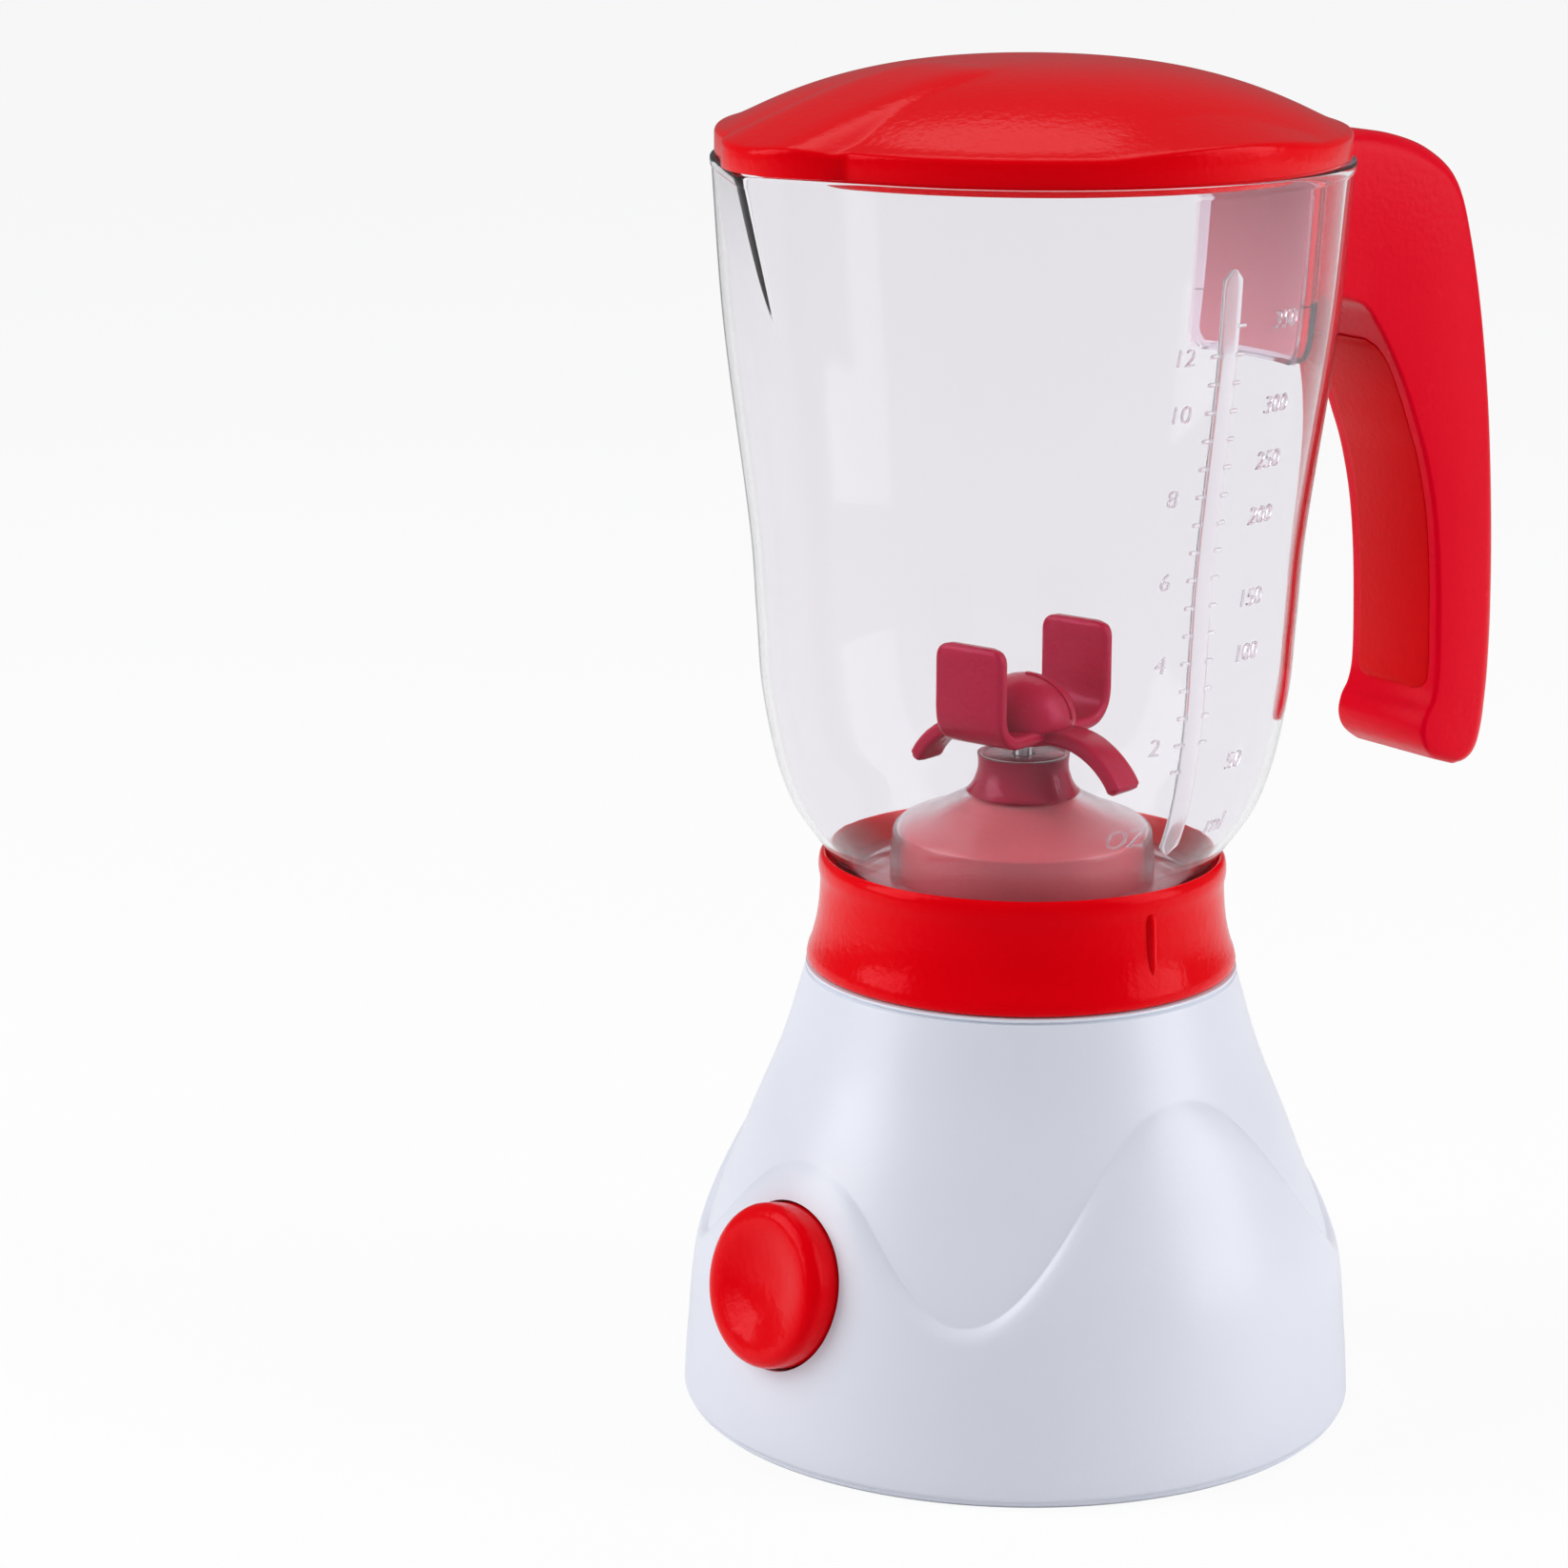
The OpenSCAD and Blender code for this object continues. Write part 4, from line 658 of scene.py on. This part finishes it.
def jug_angles():
    """Angles round the jug, closer together at the spout."""
    edge = 180 - SPOUT_SPREAD
    degrees = [-edge + 2 * edge * i / 149 for i in range(150)]
    degrees += [edge + 2 * SPOUT_SPREAD * i / 90 for i in range(1, 90)]
    angles = [math.radians(a) for a in degrees]
    return sorted(a if a >= 0 else a + 2 * math.pi for a in angles)


def make_jug():
    """The clear jug in one endless skin: outside, rim, inside, floor with its dome, and underside."""
    angles = jug_angles()
    foot = SEAT + 4.2
    top = RIM - 1.9
    rings = [jug_ring(SEAT + rise, inset, angles) for rise, inset in
             ((0, 0.55), (0.25, 0.2), (0.8, 0), (2, 0), (3.2, 0))]
    rings += [jug_ring(foot + (top - foot) * k / 72, 0, angles) for k in range(73)]
    rings += [jug_ring(RIM - drop, 0, angles, bead) for drop, bead in
              ((1.65, 0), (1.45, 0.1), (1.2, 0.17), (0.7, 0.19), (0.28, 0.15), (0.08, 0), (0, -0.2))]
    rings += [jug_ring(RIM - drop, inset, angles) for drop, inset in
              ((0, 0.95), (0.1, 1.2), (0.5, JUG_WALL))]
    high, low = RIM - 1.4, SEAT + 4.5
    rings += [jug_ring(high - (high - low) * k / 60, JUG_WALL, angles) for k in range(61)]
    floor = [(25.6, SEAT + 2.2), (24.9, SEAT + 1.5), (23.8, SEAT + 1.22), (21, SEAT + 1.2)]
    under = [(max(r, NECK_BORE), max(z, SEAT)) for r, z in reversed(offset_line(DOME_LINE, DOME_WALL))
             if z < 97.5]
    profile = floor + DOME_LINE + NECK_EDGE + under + [(18.6, SEAT), (25, SEAT)]
    rings += [circle(r, z, angles) for r, z in profile]
    jug = new_object("jug_clear", *endless_faces(rings), "jug_body")
    recalc(jug)
    dress(jug, CLEAR, 42)
    jug.data.materials.append(CLOUDED)
    jug.data.materials.append(HAZED)
    for polygon in jug.data.polygons:
        x, y, z = polygon.center / MM
        if math.hypot(x, y) < 20 and z < 92.5:
            polygon.material_index = 2
        if x > 0 and abs(y) < POCKET_HALF - 0.6 and z > POCKET_LOW + 0.8:
            polygon.material_index = 1
    return jug


jug = make_jug()
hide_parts("jug")


def make_bush():
    """Red bush in the clear neck, so close under its skin that the neck looks solid red."""
    skin = [p for p in offset_line(DOME_LINE, 0.12) if 92.3 < p[1] < 98.2]
    line = skin + [(6.4, 98.2), (1.65, 98.2), (1.65, 92.3), (skin[0][0] - 0.4, 92.2)]
    bush = turned_piece("neck_sleeve", line, "jug_body", 96)
    dress(bush, CRIMSON, 40)
    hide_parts("neck_bush")


make_bush()


# ------------------------------ pocket that holds the handle

SLOT_HALF = 8.3
NECK_LOW = RIM - 24.0
POCKET_OUTSIDE = 3.6
POCKET_INSIDE = 2.4
POCKET_ROOT = -0.3
POCKET_WALL = 1.2
POCKET_CORNER = 4.5
ACROSS = [k / 12 for k in range(13)]


def wall_point(z, grow, y):
    """Point on the handle's side, grow outside the jug's wall, y to the side."""
    r = jug_radius(z) + grow
    return (math.sqrt(r * r - y * y), y, z)


def pocket_half(z):
    """Half the pocket's width at height z, less at its round lower corners."""
    rise = min(max(0.0, POCKET_CORNER - (z - POCKET_LOW)), POCKET_CORNER)
    return POCKET_HALF - (POCKET_CORNER - math.sqrt(POCKET_CORNER ** 2 - rise ** 2))


def whole_section(z):
    """Plan outline of the pocket's wall at height z, below the slot."""
    half = pocket_half(z)
    inner = half - POCKET_WALL
    outside = [wall_point(z, POCKET_OUTSIDE, -half + 2 * half * t) for t in ACROSS]
    inside = [wall_point(z, POCKET_INSIDE, inner * (1 - 2 * t)) for t in ACROSS]
    near = [wall_point(z, POCKET_ROOT, y) for y in (half, inner)]
    far = [wall_point(z, POCKET_ROOT, y) for y in (-inner, -half)]
    return outside + near + inside + far


def side_section(z, side):
    """Plan outline of the pocket's wall at height z, on one side of the slot for the handle's neck."""
    half = pocket_half(z)
    inner = half - POCKET_WALL
    outside = [wall_point(z, POCKET_OUTSIDE, side * (SLOT_HALF + (half - SLOT_HALF) * t)) for t in ACROSS]
    inside = [wall_point(z, POCKET_INSIDE, side * (inner - (inner - SLOT_HALF) * t)) for t in ACROSS]
    return outside + [wall_point(z, POCKET_ROOT, side * y) for y in (half, inner)] + inside


def make_pocket():
    bend = POCKET_LOW + 4.6
    levels = [POCKET_LOW + 0.35 * k for k in range(1, 13)]
    levels += [bend + (NECK_LOW - bend) * k / 6 for k in range(7)]
    half = pocket_half(levels[0])
    floor = ((POCKET_LOW + 0.3, -0.3), (POCKET_LOW + 0.3, 3.3), (POCKET_LOW + 1.2, 3.3),
             (POCKET_LOW + 1.2, -0.3))
    shapes = [[whole_section(z) for z in levels],
              [[wall_point(z, grow, half * (1 - 2 * k / 16)) for z, grow in floor] for k in range(17)]]
    for side in (-1, 1):
        shapes.append([side_section(NECK_LOW + (RIM - NECK_LOW) * k / 14, side) for k in range(15)])
    points, faces = [], []
    for rings in shapes:
        add_shape(points, faces, *loop_faces(rings))
    pocket = new_object("jug_pocket", points, faces, "jug_body")
    recalc(pocket)
    dress(pocket, CLEAR, 35)


make_pocket()


# ------------------------------------------- measuring scale

SCALE_ANGLE = math.radians(-90.9)
TICK_LOW = 103.1
TICK_STEP = 3.96
BAR_LOW = 90.0
BAR_HIGH = 174.4
BAR_HALF = 1.7
BAR_PROUD = 0.5
BAR_ROOT = -0.15
# The scale's figures with the tick that each stands beside, and the angles of their columns
OUNCES = ((2, 1), (4, 4), (6, 7), (8, 10), (10, 13), (12, 15))
MILLILITRES = ((50, 0), (100, 4), (150, 6), (200, 9), (250, 11), (300, 13), (350, 16))
OUNCE_COLUMN = -100.3
MILLILITRE_COLUMN = -76.8


def on_jug(angle, across, z, proud):
    """Point on the jug's outside: across millimetres round from an angle."""
    r = jug_radius(z)
    a = angle + across / r
    return ((r + proud) * math.cos(a), (r + proud) * math.sin(a), z)


def bar_ring(z):
    """Section of the scale's bar at height z, with the bar's round ends."""
    ends = min(z - BAR_LOW, BAR_HIGH - z)
    half = BAR_HALF * math.sqrt(max(0.02, 1 - max(0.0, 1 - ends / BAR_HALF) ** 2))
    ring = []
    for b in [math.pi * m / 12 for m in range(13)]:
        proud = (BAR_PROUD - BAR_ROOT) * math.sin(b) ** 0.6 if 0 < b < math.pi else 0
        ring.append(on_jug(SCALE_ANGLE, half * math.cos(b), z, BAR_ROOT + proud))
    return ring


def tick_ring(side, z, m):
    """Section m of 9 of a tick, from the bar out to the tick's round end."""
    across = side * (1.2 + 1.7 * m / 8)
    share = math.sqrt(max(0.05, 1 - max(0.0, (m - 6.5) / 1.7) ** 2))
    return [on_jug(SCALE_ANGLE, across, z + 0.32 * share * math.cos(b),
                   -0.1 + 0.42 * share * max(0.0, math.sin(b))) for b in full_turn(10)]


def make_scale():
    rings = [bar_ring(BAR_LOW + (BAR_HIGH - BAR_LOW) * k / 60) for k in range(61)]
    bar = skin_piece("scale_bar", rings, "jug_body")
    dress(bar, MARKS, 50)
    points, faces = [], []
    for side in (-1, 1):
        for k in range(16):
            z = TICK_LOW + TICK_STEP * (k + (side > 0))
            add_shape(points, faces, *loop_faces([tick_ring(side, z, m) for m in range(9)]))
    ticks = new_object("scale_ticks", points, faces, "jug_body")
    recalc(ticks)
    paint(ticks, MARKS)


def raised_writing(name, entries, height):
    """Raised figures bent round the jug: entries of (figures, degrees, height above the floor)."""
    points, faces = [], []
    for figures, degrees, z0 in entries:
        curve = bpy.data.curves.new(name, "FONT")
        curve.body = figures
        curve.size = height
        curve.extrude = 0.16
        curve.bevel_depth = 0.02
        curve.offset = -0.05
        curve.resolution_u = 3
        curve.align_x = "CENTER"
        curve.align_y = "CENTER"
        curve.shear = 0.12
        sample = bpy.data.objects.new(name, curve)
        bpy.context.collection.objects.link(sample)
        graph = bpy.context.evaluated_depsgraph_get()
        mesh = bpy.data.meshes.new_from_object(sample.evaluated_get(graph))
        bent = []
        for vertex in mesh.vertices:
            u, v, w = vertex.co
            bent.append(on_jug(math.radians(degrees), u, z0 + v, w + 0.1))
        add_shape(points, faces, bent, [tuple(polygon.vertices) for polygon in mesh.polygons])
        bpy.data.objects.remove(sample)
        bpy.data.meshes.remove(mesh)
        bpy.data.curves.remove(curve)
    writing = new_object(name, points, faces, "jug_body", smooth=False)
    paint(writing, FIGURES)


def figure_column(figures, degrees):
    return [(str(n), degrees, TICK_LOW + TICK_STEP * step) for n, step in figures]


make_scale()
raised_writing("scale_numbers", figure_column(OUNCES, OUNCE_COLUMN)
               + figure_column(MILLILITRES, MILLILITRE_COLUMN), 3.6)
raised_writing("scale_units", [("OZ", -104.4, 93.4), ("ml", -77.6, 93.6)], 4.2)


# ---------------------------------------------------- handle

HANDLE_HALF = 9.9
GRIP_HALF = 7.8
GRIP_PROUD = 0.22
GRIP_DEPTH = 0.8
KNUCKLE_HALF = 5.2
NOTCH_HALF = 5.5
NOTCH_NEAR = 44
NOTCH_FAR = 54.3
# The handle's outline from root to foot: pairs of an outer and an inner point
HANDLE_PAIRS = [
    ((49.7, 186.6), (49.7, 162.6)), ((56.4, 186.6), (55.3, 160.9)), ((63.3, 185.4), (58.6, 157.3)),
    ((69.6, 183.0), (62.2, 151.7)), ((74.6, 178.8), (65.1, 146.1)), ((77.7, 170.6), (67.0, 141.6)),
    ((80.7, 158.0), (69.2, 136.0)), ((83.2, 142.5), (71.2, 128.0)), ((84.8, 126.2), (72.3, 119.0)),
    ((85.4, 112.0), (72.8, 108.5)), ((85.3, 102.6), (72.8, 101.8)), ((84.9, 97.2), (72.1, 98.4)),
    ((84.3, 92.7), (70.8, 96.2)), ((83.2, 89.4), (70.3, 93.6)), ((81.3, 87.7), (71.3, 91.0)),
    ((79.2, 87.2), (73.5, 89.0))]


def handle_section(inner, outer, half):
    """Rounded section between two points of the handle's profile."""
    span = math.hypot(outer[0] - inner[0], outer[1] - inner[1])
    small, large = 0.8, min(3.4, span * 0.42)
    line = []
    for k in range(5):
        a = math.pi + math.pi / 2 * k / 4
        line.append((small + small * math.cos(a), -(half - small) + small * math.sin(a)))
    for k in range(9):
        a = -math.pi / 2 + math.pi / 2 * k / 8
        line.append((span - large + large * math.cos(a), -(half - large) + large * math.sin(a)))
    line += [(t, -y) for t, y in reversed(line)]
    ux, uz = (outer[0] - inner[0]) / span, (outer[1] - inner[1]) / span
    return [(inner[0] + ux * t, y, inner[1] + uz * t) for t, y in line]


def hinge_notch(low):
    """Box above a height that clears the handle's root for the lid's arm."""
    rings = [[(NOTCH_NEAR, -NOTCH_HALF, z), (NOTCH_FAR, -NOTCH_HALF, z), (NOTCH_FAR, NOTCH_HALF, z),
              (NOTCH_NEAR, NOTCH_HALF, z)] for z in (low, HINGE[1] + 8)]
    return skin_piece("notch", rings, "jug_body", smooth=False)


def barrel(name, radius, half, body):
    """Barrel round the hinge's axis, with its edges broken."""
    rings = [[(HINGE[0] + radius * s * math.cos(a), y, HINGE[1] + radius * s * math.sin(a))
              for a in full_turn(40)]
             for y, s in ((-half, 0.9), (-half + 0.2, 1), (half - 0.2, 1), (half, 0.9))]
    return skin_piece(name, rings, body)


def make_handle():
    curve = catmull([(*outer, *inner) for outer, inner in HANDLE_PAIRS], 6)
    rings = []
    for k, (ox, oz, ix, iz) in enumerate(curve):
        near_end = max(0, 9 - (len(curve) - 1 - k)) / 9
        rings.append(handle_section((ix, iz), (ox, oz), HANDLE_HALF * math.sqrt(1 - near_end ** 2 * 0.22)))
    handle = skin_piece("handle_body", rings, "jug_body")
    cut(handle, hinge_notch(HINGE[1]))
    cut(handle, barrel("notch_round", 2.3, NOTCH_HALF, "jug_body"))
    dress(handle, HANDLE_RED, 38)
    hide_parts("handle_shell")


def make_tongue():
    """The handle's tongue in the jug's pocket."""
    low, high = POCKET_LOW + 1.6, RIM - 0.4
    rings = []
    for k in range(31):
        z = low + (high - low) * k / 30
        half = min(11.5, pocket_half(z) - 1.4) - (0.3 if k in (0, 30) else 0)
        near = [wall_point(z, 0.2, -half + 2 * half * t / 14) for t in range(15)]
        far = [wall_point(z, 2.2, half - 2 * half * t / 14) for t in range(15)]
        rings.append(near + far)
    tongue = skin_piece("handle_tongue", rings, "jug_body")
    dress(tongue, HANDLE_RED, 40)


def make_neck():
    """The neck through the pocket's slot that joins the tongue to the handle."""
    low, high = NECK_LOW + 0.4, RIM - 0.4
    rings = []
    for k in range(13):
        z = low + (high - low) * k / 12
        inner = jug_radius(z) + 1.9
        rings.append([(inner, -8.0, z), (50.2, -8.0, z), (50.2, 8.0, z), (inner, 8.0, z)])
    neck = skin_piece("handle_neck", rings, "jug_body", smooth=False)
    cut(neck, hinge_notch(HINGE[1] - 1.9))
    paint(neck, HANDLE_RED)


def make_grip():
    """Inner cover of the handle: a strip set just proud of the grip's inner face."""
    line = catmull([inner for _, inner in HANDLE_PAIRS[2:12]], 8)[4:-4]
    rings = []
    for k, (x, z) in enumerate(line):
        t = direction_at(line, k)
        nx, nz = (-t.y, t.x) if t.y > 0 else (t.y, -t.x)
        ends = min(min(k, len(line) - 1 - k) / 5, 1)
        half = GRIP_HALF * (math.sqrt(1 - (1 - ends) ** 2) * 0.35 + 0.65)
        row = [(GRIP_DEPTH, -half), (0.12 - GRIP_PROUD, -half), (-GRIP_PROUD, 0.4 - half),
               (-GRIP_PROUD, half - 0.4), (0.12 - GRIP_PROUD, half), (GRIP_DEPTH, half)]
        rings.append([(x - nx * depth, y, z - nz * depth) for depth, y in row])
    grip = skin_piece("handle_grip", rings, "jug_body")
    dress(grip, GRIP_RED, 35)
    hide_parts("handle_cover")


make_handle()
make_tongue()
make_neck()
make_grip()


# ----------------------------------------------------- rotor

ROTOR_ANGLE = 15.5
RIB_ANGLE = -62
BLADE_LINE = catmull([(1.5, 102.15), (6, 102.15), (9.4, 102.2), (11.2, 102.9), (12.45, 104.3), (12.95, 106.2),
                      (13, 109), (13, 113), (13, 116.5)], 9)
ARM_LINE = catmull([(1.5, 101.95), (6, 101.95), (9, 101.85), (12, 101.0), (14.8, 99.3), (16.9, 97.2),
                    (18.1, 95.3)], 9)
BLADE_CORNER = 2.2


def bent_strip(name, line, half_at, thick_at, turn):
    """Flat bar with rounded edges, bent along a line of (radius, height). Its half width and its
    thickness are functions of the steps left to the line's end."""
    turn = math.radians(turn)
    rings = []
    for k, (r, z) in enumerate(line):
        t = direction_at(line, k)
        left = len(line) - 1 - k
        half, thick = half_at(left), thick_at(left) / 2
        corner = min(0.75, thick * 0.8, half * 0.8)
        ring = []
        for quarter, (sy, sn) in enumerate(((1, 1), (-1, 1), (-1, -1), (1, -1))):
            for m in range(5):
                b = quarter * math.pi / 2 + math.pi / 8 * m
                y = sy * (half - corner) + corner * math.cos(b)
                d = sn * (thick - corner) + corner * math.sin(b)
                x, h = r + t.y * d, z - t.x * d
                ring.append((x * math.cos(turn) - y * math.sin(turn),
                             x * math.sin(turn) + y * math.cos(turn), h))
        rings.append(ring)
    piece = skin_piece(name, rings, "rotor")
    dress(piece, CRIMSON, 60)


def blade_half(left):
    """Half the blade's width, less at its round upper corners."""
    r, z = BLADE_LINE[len(BLADE_LINE) - 1 - left]
    below_top = BLADE_LINE[-1][1] - z if r > 11 else 9
    rise = max(0.0, BLADE_CORNER - below_top)
    return 6.0 - (BLADE_CORNER - math.sqrt(max(0.0, BLADE_CORNER ** 2 - rise ** 2))) * 0.95


def make_rotor():
    hub = [(1.45, 100.5), (5.7, 100.5), (6.15, 100.65), (6.3, 101.0), (6.3, 102.4), (7.2, 102.6),
           (7.5, 102.9), (7.6, 103.4)]
    dome = [math.pi / 2 * k / 14 for k in range(1, 14)]
    hub += [(7.6 * math.cos(a), 103.7 + 6.6 * math.sin(a)) for a in dome]
    hub += [(0.05, 110.3), (0.05, 104.6), (1.45, 104.6)]
    piece = turned_piece("rotor_hub", hub, "rotor", 72)
    dress(piece, CRIMSON, 45)
    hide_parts("blade_rotor")
    for turn, tag in ((0, "a"), (180, "b")):
        bent_strip("rotor_blade_" + tag, BLADE_LINE, blade_half,
                   lambda left: 1.95 if left > 1 else 1.3, ROTOR_ANGLE + turn)
        bent_strip("rotor_arm_" + tag, ARM_LINE, lambda left: 3.0 if left > 2 else 2.7,
                   lambda left: 2.3 if left > 1 else 1.5, ROTOR_ANGLE + 90 + turn)
    angles = [math.radians(4 + 84 * k / 24) for k in range(25)]
    rib = [(7.62 * math.cos(a), 103.72 + 6.62 * math.sin(a)) for a in angles]
    bent_strip("rotor_rib", rib, lambda left: 0.42, lambda left: 0.5, RIB_ANGLE)


make_rotor()


# ------------------------------------------------------- lid

LID_STEP = 0.5
LID_RADIUS = RIM_RADIUS - LID_STEP
LID_TIP = SPOUT_REACH - LID_STEP
LID_BOTTOM = RIM + 0.3
LID_WALL = 1.7
NOSE_RADIUS = 17.0
RIDGE_SLOPE = 0.42
RIDGE_START = 14
RIDGE_HALF = 13
SHELF_START = 35
EDGE_ROUND = 1.1
EDGE_BEGIN = math.radians(25)
EDGE_MARGIN = EDGE_ROUND * (1 - math.sin(EDGE_BEGIN))


def soft_max(a, b, soft):
    """The larger of two values, with the crease between them softened."""
    return (a + b + math.sqrt((a - b) ** 2 + soft)) / 2


def lid_height(x, y):
    """Height of the lid's top: a dome with a brow round its edge, a flatter shelf along each side, and
    a ridge that runs out over the spout."""
    r = math.hypot(x, y)
    dome = CROWN - 11.2 * (r / (LID_RADIUS + 1.2)) ** 2.6
    inward = LID_RADIUS - r
    brow = RIM + 3.9 + 0.28 * inward - 0.0045 * inward * inward
    short = max(SHELF_START + 1 - abs(y), 0)
    shelf = RIM + 8.3 - 0.31 * (abs(y) - SHELF_START) - 0.12 * short * short - 0.007 * x * x
    crown = soft_max(soft_max(dome, brow, 0.2), shelf, 0.01)
    if x >= 0:
        return crown
    run = max(-x - RIDGE_START, 0)
    ridge = CROWN - 0.2 - RIDGE_SLOPE * run * run / (run + 22) - 2.8 * (y / RIDGE_HALF) ** 4
    return soft_max(crown, max(ridge, RIM), 0.02)


def lid_reach(angle):
    """Plan outline of the lid: a circle with a rounded nose over the spout."""
    centre = LID_TIP - NOSE_RADIUS
    aside = centre * math.sin(angle)
    nose = 0.0
    if abs(angle) < math.pi / 2 and abs(aside) < NOSE_RADIUS:
        nose = centre * math.cos(angle) + math.sqrt(NOSE_RADIUS ** 2 - aside * aside)
    return soft_max(LID_RADIUS, nose, 0.03)


def lid_ring(share, inset, height_of):
    """Ring at a share of the lid's outline less inset, with heights by a function of point and reach."""
    ring = []
    for a in jug_angles():
        full = lid_reach(a - math.pi)
        r = share * (full - inset)
        x, y = r * math.cos(a), r * math.sin(a)
        ring.append((x, y, height_of(x, y, full)))
    return ring


def edge_height(x, y, full, drop):
    """Height on the lid's round edge, drop below the top at the edge's start."""
    scale = (full - EDGE_MARGIN) / math.hypot(x, y)
    return lid_height(x * scale, y * scale) - drop


def make_lid():
    rings = [lid_ring(0.02 + 0.98 * k / 60, EDGE_MARGIN, lambda x, y, full: lid_height(x, y))
             for k in range(61)]
    for k in range(1, 9):
        phi = EDGE_BEGIN + (math.pi / 2 - EDGE_BEGIN) * k / 8
        drop = EDGE_ROUND * (math.cos(EDGE_BEGIN) - math.cos(phi))
        rings.append(lid_ring(1, EDGE_ROUND * (1 - math.sin(phi)),
                              lambda x, y, full: edge_height(x, y, full, drop)))
    for rise, inset in ((0.25, 0.0), (0.05, 0.08), (0, 0.25), (0, 1.6)):
        rings.append(lid_ring(1, inset, lambda x, y, full: LID_BOTTOM + rise))
    for k in range(20, -1, -1):
        sunk = LID_WALL + (1.0 if k == 20 else 0)
        rings.append(lid_ring(0.02 + 0.96 * k / 20, LID_WALL, lambda x, y, full: lid_height(x, y) - sunk))
    lid = skin_piece("lid_shell", rings, "lid_body")
    dress(lid, RED, 50)
    outline = [(42.6, RIM + 1.2), (43.7, RIM + 1.2), (43.7, RIM - 0.9), (43.5, RIM - 1.1),
               (42.9, RIM - 1.1), (42.7, RIM - 0.9)]
    ring_piece = turned_piece("lid_lip", outline, "lid_body", 160)
    dress(ring_piece, RED, 40)
    return lid


def make_hinge_arm():
    low, high = LID_BOTTOM, HINGE[1] + 1.7
    section = [(LID_RADIUS - 1.2, low), (HINGE[0] - 0.5, low), (HINGE[0] - 0.5, high),
               (LID_RADIUS + 1.0, high), (LID_RADIUS - 0.2, high + 0.9), (LID_RADIUS - 1.2, high + 1.5)]
    rings = [[(x, y, z) for x, z in section] for y in (-KNUCKLE_HALF, KNUCKLE_HALF)]
    arm = skin_piece("lid_arm", rings, "lid_body")
    dress(arm, RED, 50)
    knuckle = barrel("lid_knuckle", 1.8, KNUCKLE_HALF, "lid_body")
    dress(knuckle, RED, 50)


lid = make_lid()
make_hinge_arm()
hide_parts("lid")


# ------------------------------------------ floor and lights

FLOOR_HALF = 6
# Share of plain white in what the camera, or a ray through clear plastic, sees of the floor
FLOOR_GLOW = 0.9
WORLD_LIGHT = 0.34
GLOSS_DIMMING = -0.2
LAMP_TARGET = (0, 0, 0.1)


def add_math(tree, operation, *values):
    """A math node on outputs and numbers."""
    node = tree.nodes.new("ShaderNodeMath")
    node.operation = operation
    for value, target in zip(values, node.inputs):
        if isinstance(value, float):
            target.default_value = value
        else:
            tree.links.new(value, target)
    return node.outputs[0]


def add_seen(tree, path):
    """1 for rays from the camera and rays through clear plastic, 0 for all others."""
    return add_math(tree, "MAXIMUM", path["Is Camera Ray"], path["Is Transmission Ray"])


def make_stage():
    """A white floor that keeps the toy's shadow."""
    mesh = bpy.data.meshes.new("floor")
    corners = [(x * FLOOR_HALF, y * FLOOR_HALF, 0) for x, y in ((-1, -1), (1, -1), (1, 1), (-1, 1))]
    mesh.from_pydata(corners, [], [(0, 1, 2, 3)])
    floor = bpy.data.objects.new("floor", mesh)
    bpy.context.collection.objects.link(floor)
    material, tree, shader, _ = new_material("floor")
    shader.inputs["Base Color"].default_value = (0.9, 0.9, 0.9, 1)
    shader.inputs["Roughness"].default_value = 0.6
    path = tree.nodes.new("ShaderNodeLightPath").outputs
    glow = tree.nodes.new("ShaderNodeEmission")
    glow.inputs["Color"].default_value = (1, 1, 1, 1)
    glow.inputs["Strength"].default_value = 1.0
    share = add_math(tree, "MULTIPLY", add_seen(tree, path), FLOOR_GLOW)
    mix_shaders(tree, share, shader, glow, tree.nodes["Material Output"])
    mesh.materials.append(material)


def make_world():
    """White where it is seen, a dim bluish light elsewhere that is dimmer still in the gloss."""
    world = bpy.data.worlds.new("world")
    bpy.context.scene.world = world
    world.use_nodes = True
    tree = world.node_tree
    tree.nodes.clear()
    path = tree.nodes.new("ShaderNodeLightPath").outputs
    lit = tree.nodes.new("ShaderNodeBackground")
    lit.inputs["Color"].default_value = (0.95, 0.97, 1.0, 1)
    strength = add_math(tree, "MULTIPLY_ADD", path["Is Glossy Ray"], GLOSS_DIMMING, WORLD_LIGHT)
    tree.links.new(strength, lit.inputs["Strength"])
    seen = tree.nodes.new("ShaderNodeBackground")
    seen.inputs["Color"].default_value = (1, 1, 1, 1)
    seen.inputs["Strength"].default_value = 1.0
    mix_shaders(tree, add_seen(tree, path), lit, seen, tree.nodes.new("ShaderNodeOutputWorld"))


def around(camera_angle, distance, height):
    """A point at an angle in the camera's plan, 0 to its right and 90 away from it."""
    a = math.radians(camera_angle + SCREEN_RIGHT)
    return (distance * math.cos(a), distance * math.sin(a), height)


def area_light(name, place, size, power):
    """A rectangular lamp that faces the toy."""
    data = bpy.data.lights.new(name, "AREA")
    data.shape = "RECTANGLE"
    data.size, data.size_y = size
    data.energy = power
    light = bpy.data.objects.new(name, data)
    light.location = place
    light.rotation_euler = (Vector(LAMP_TARGET) - Vector(place)).to_track_quat("-Z", "Y").to_euler()
    bpy.context.collection.objects.link(light)


make_stage()
make_world()
area_light("key_left", around(191, 0.9, 0.6), (0.6, 0.9), 7.2)
area_light("fill_right", around(-11, 0.9, 0.5), (0.6, 0.9), 6.2)
area_light("top", around(80, 0.25, 1.1), (0.8, 0.8), 2.6)
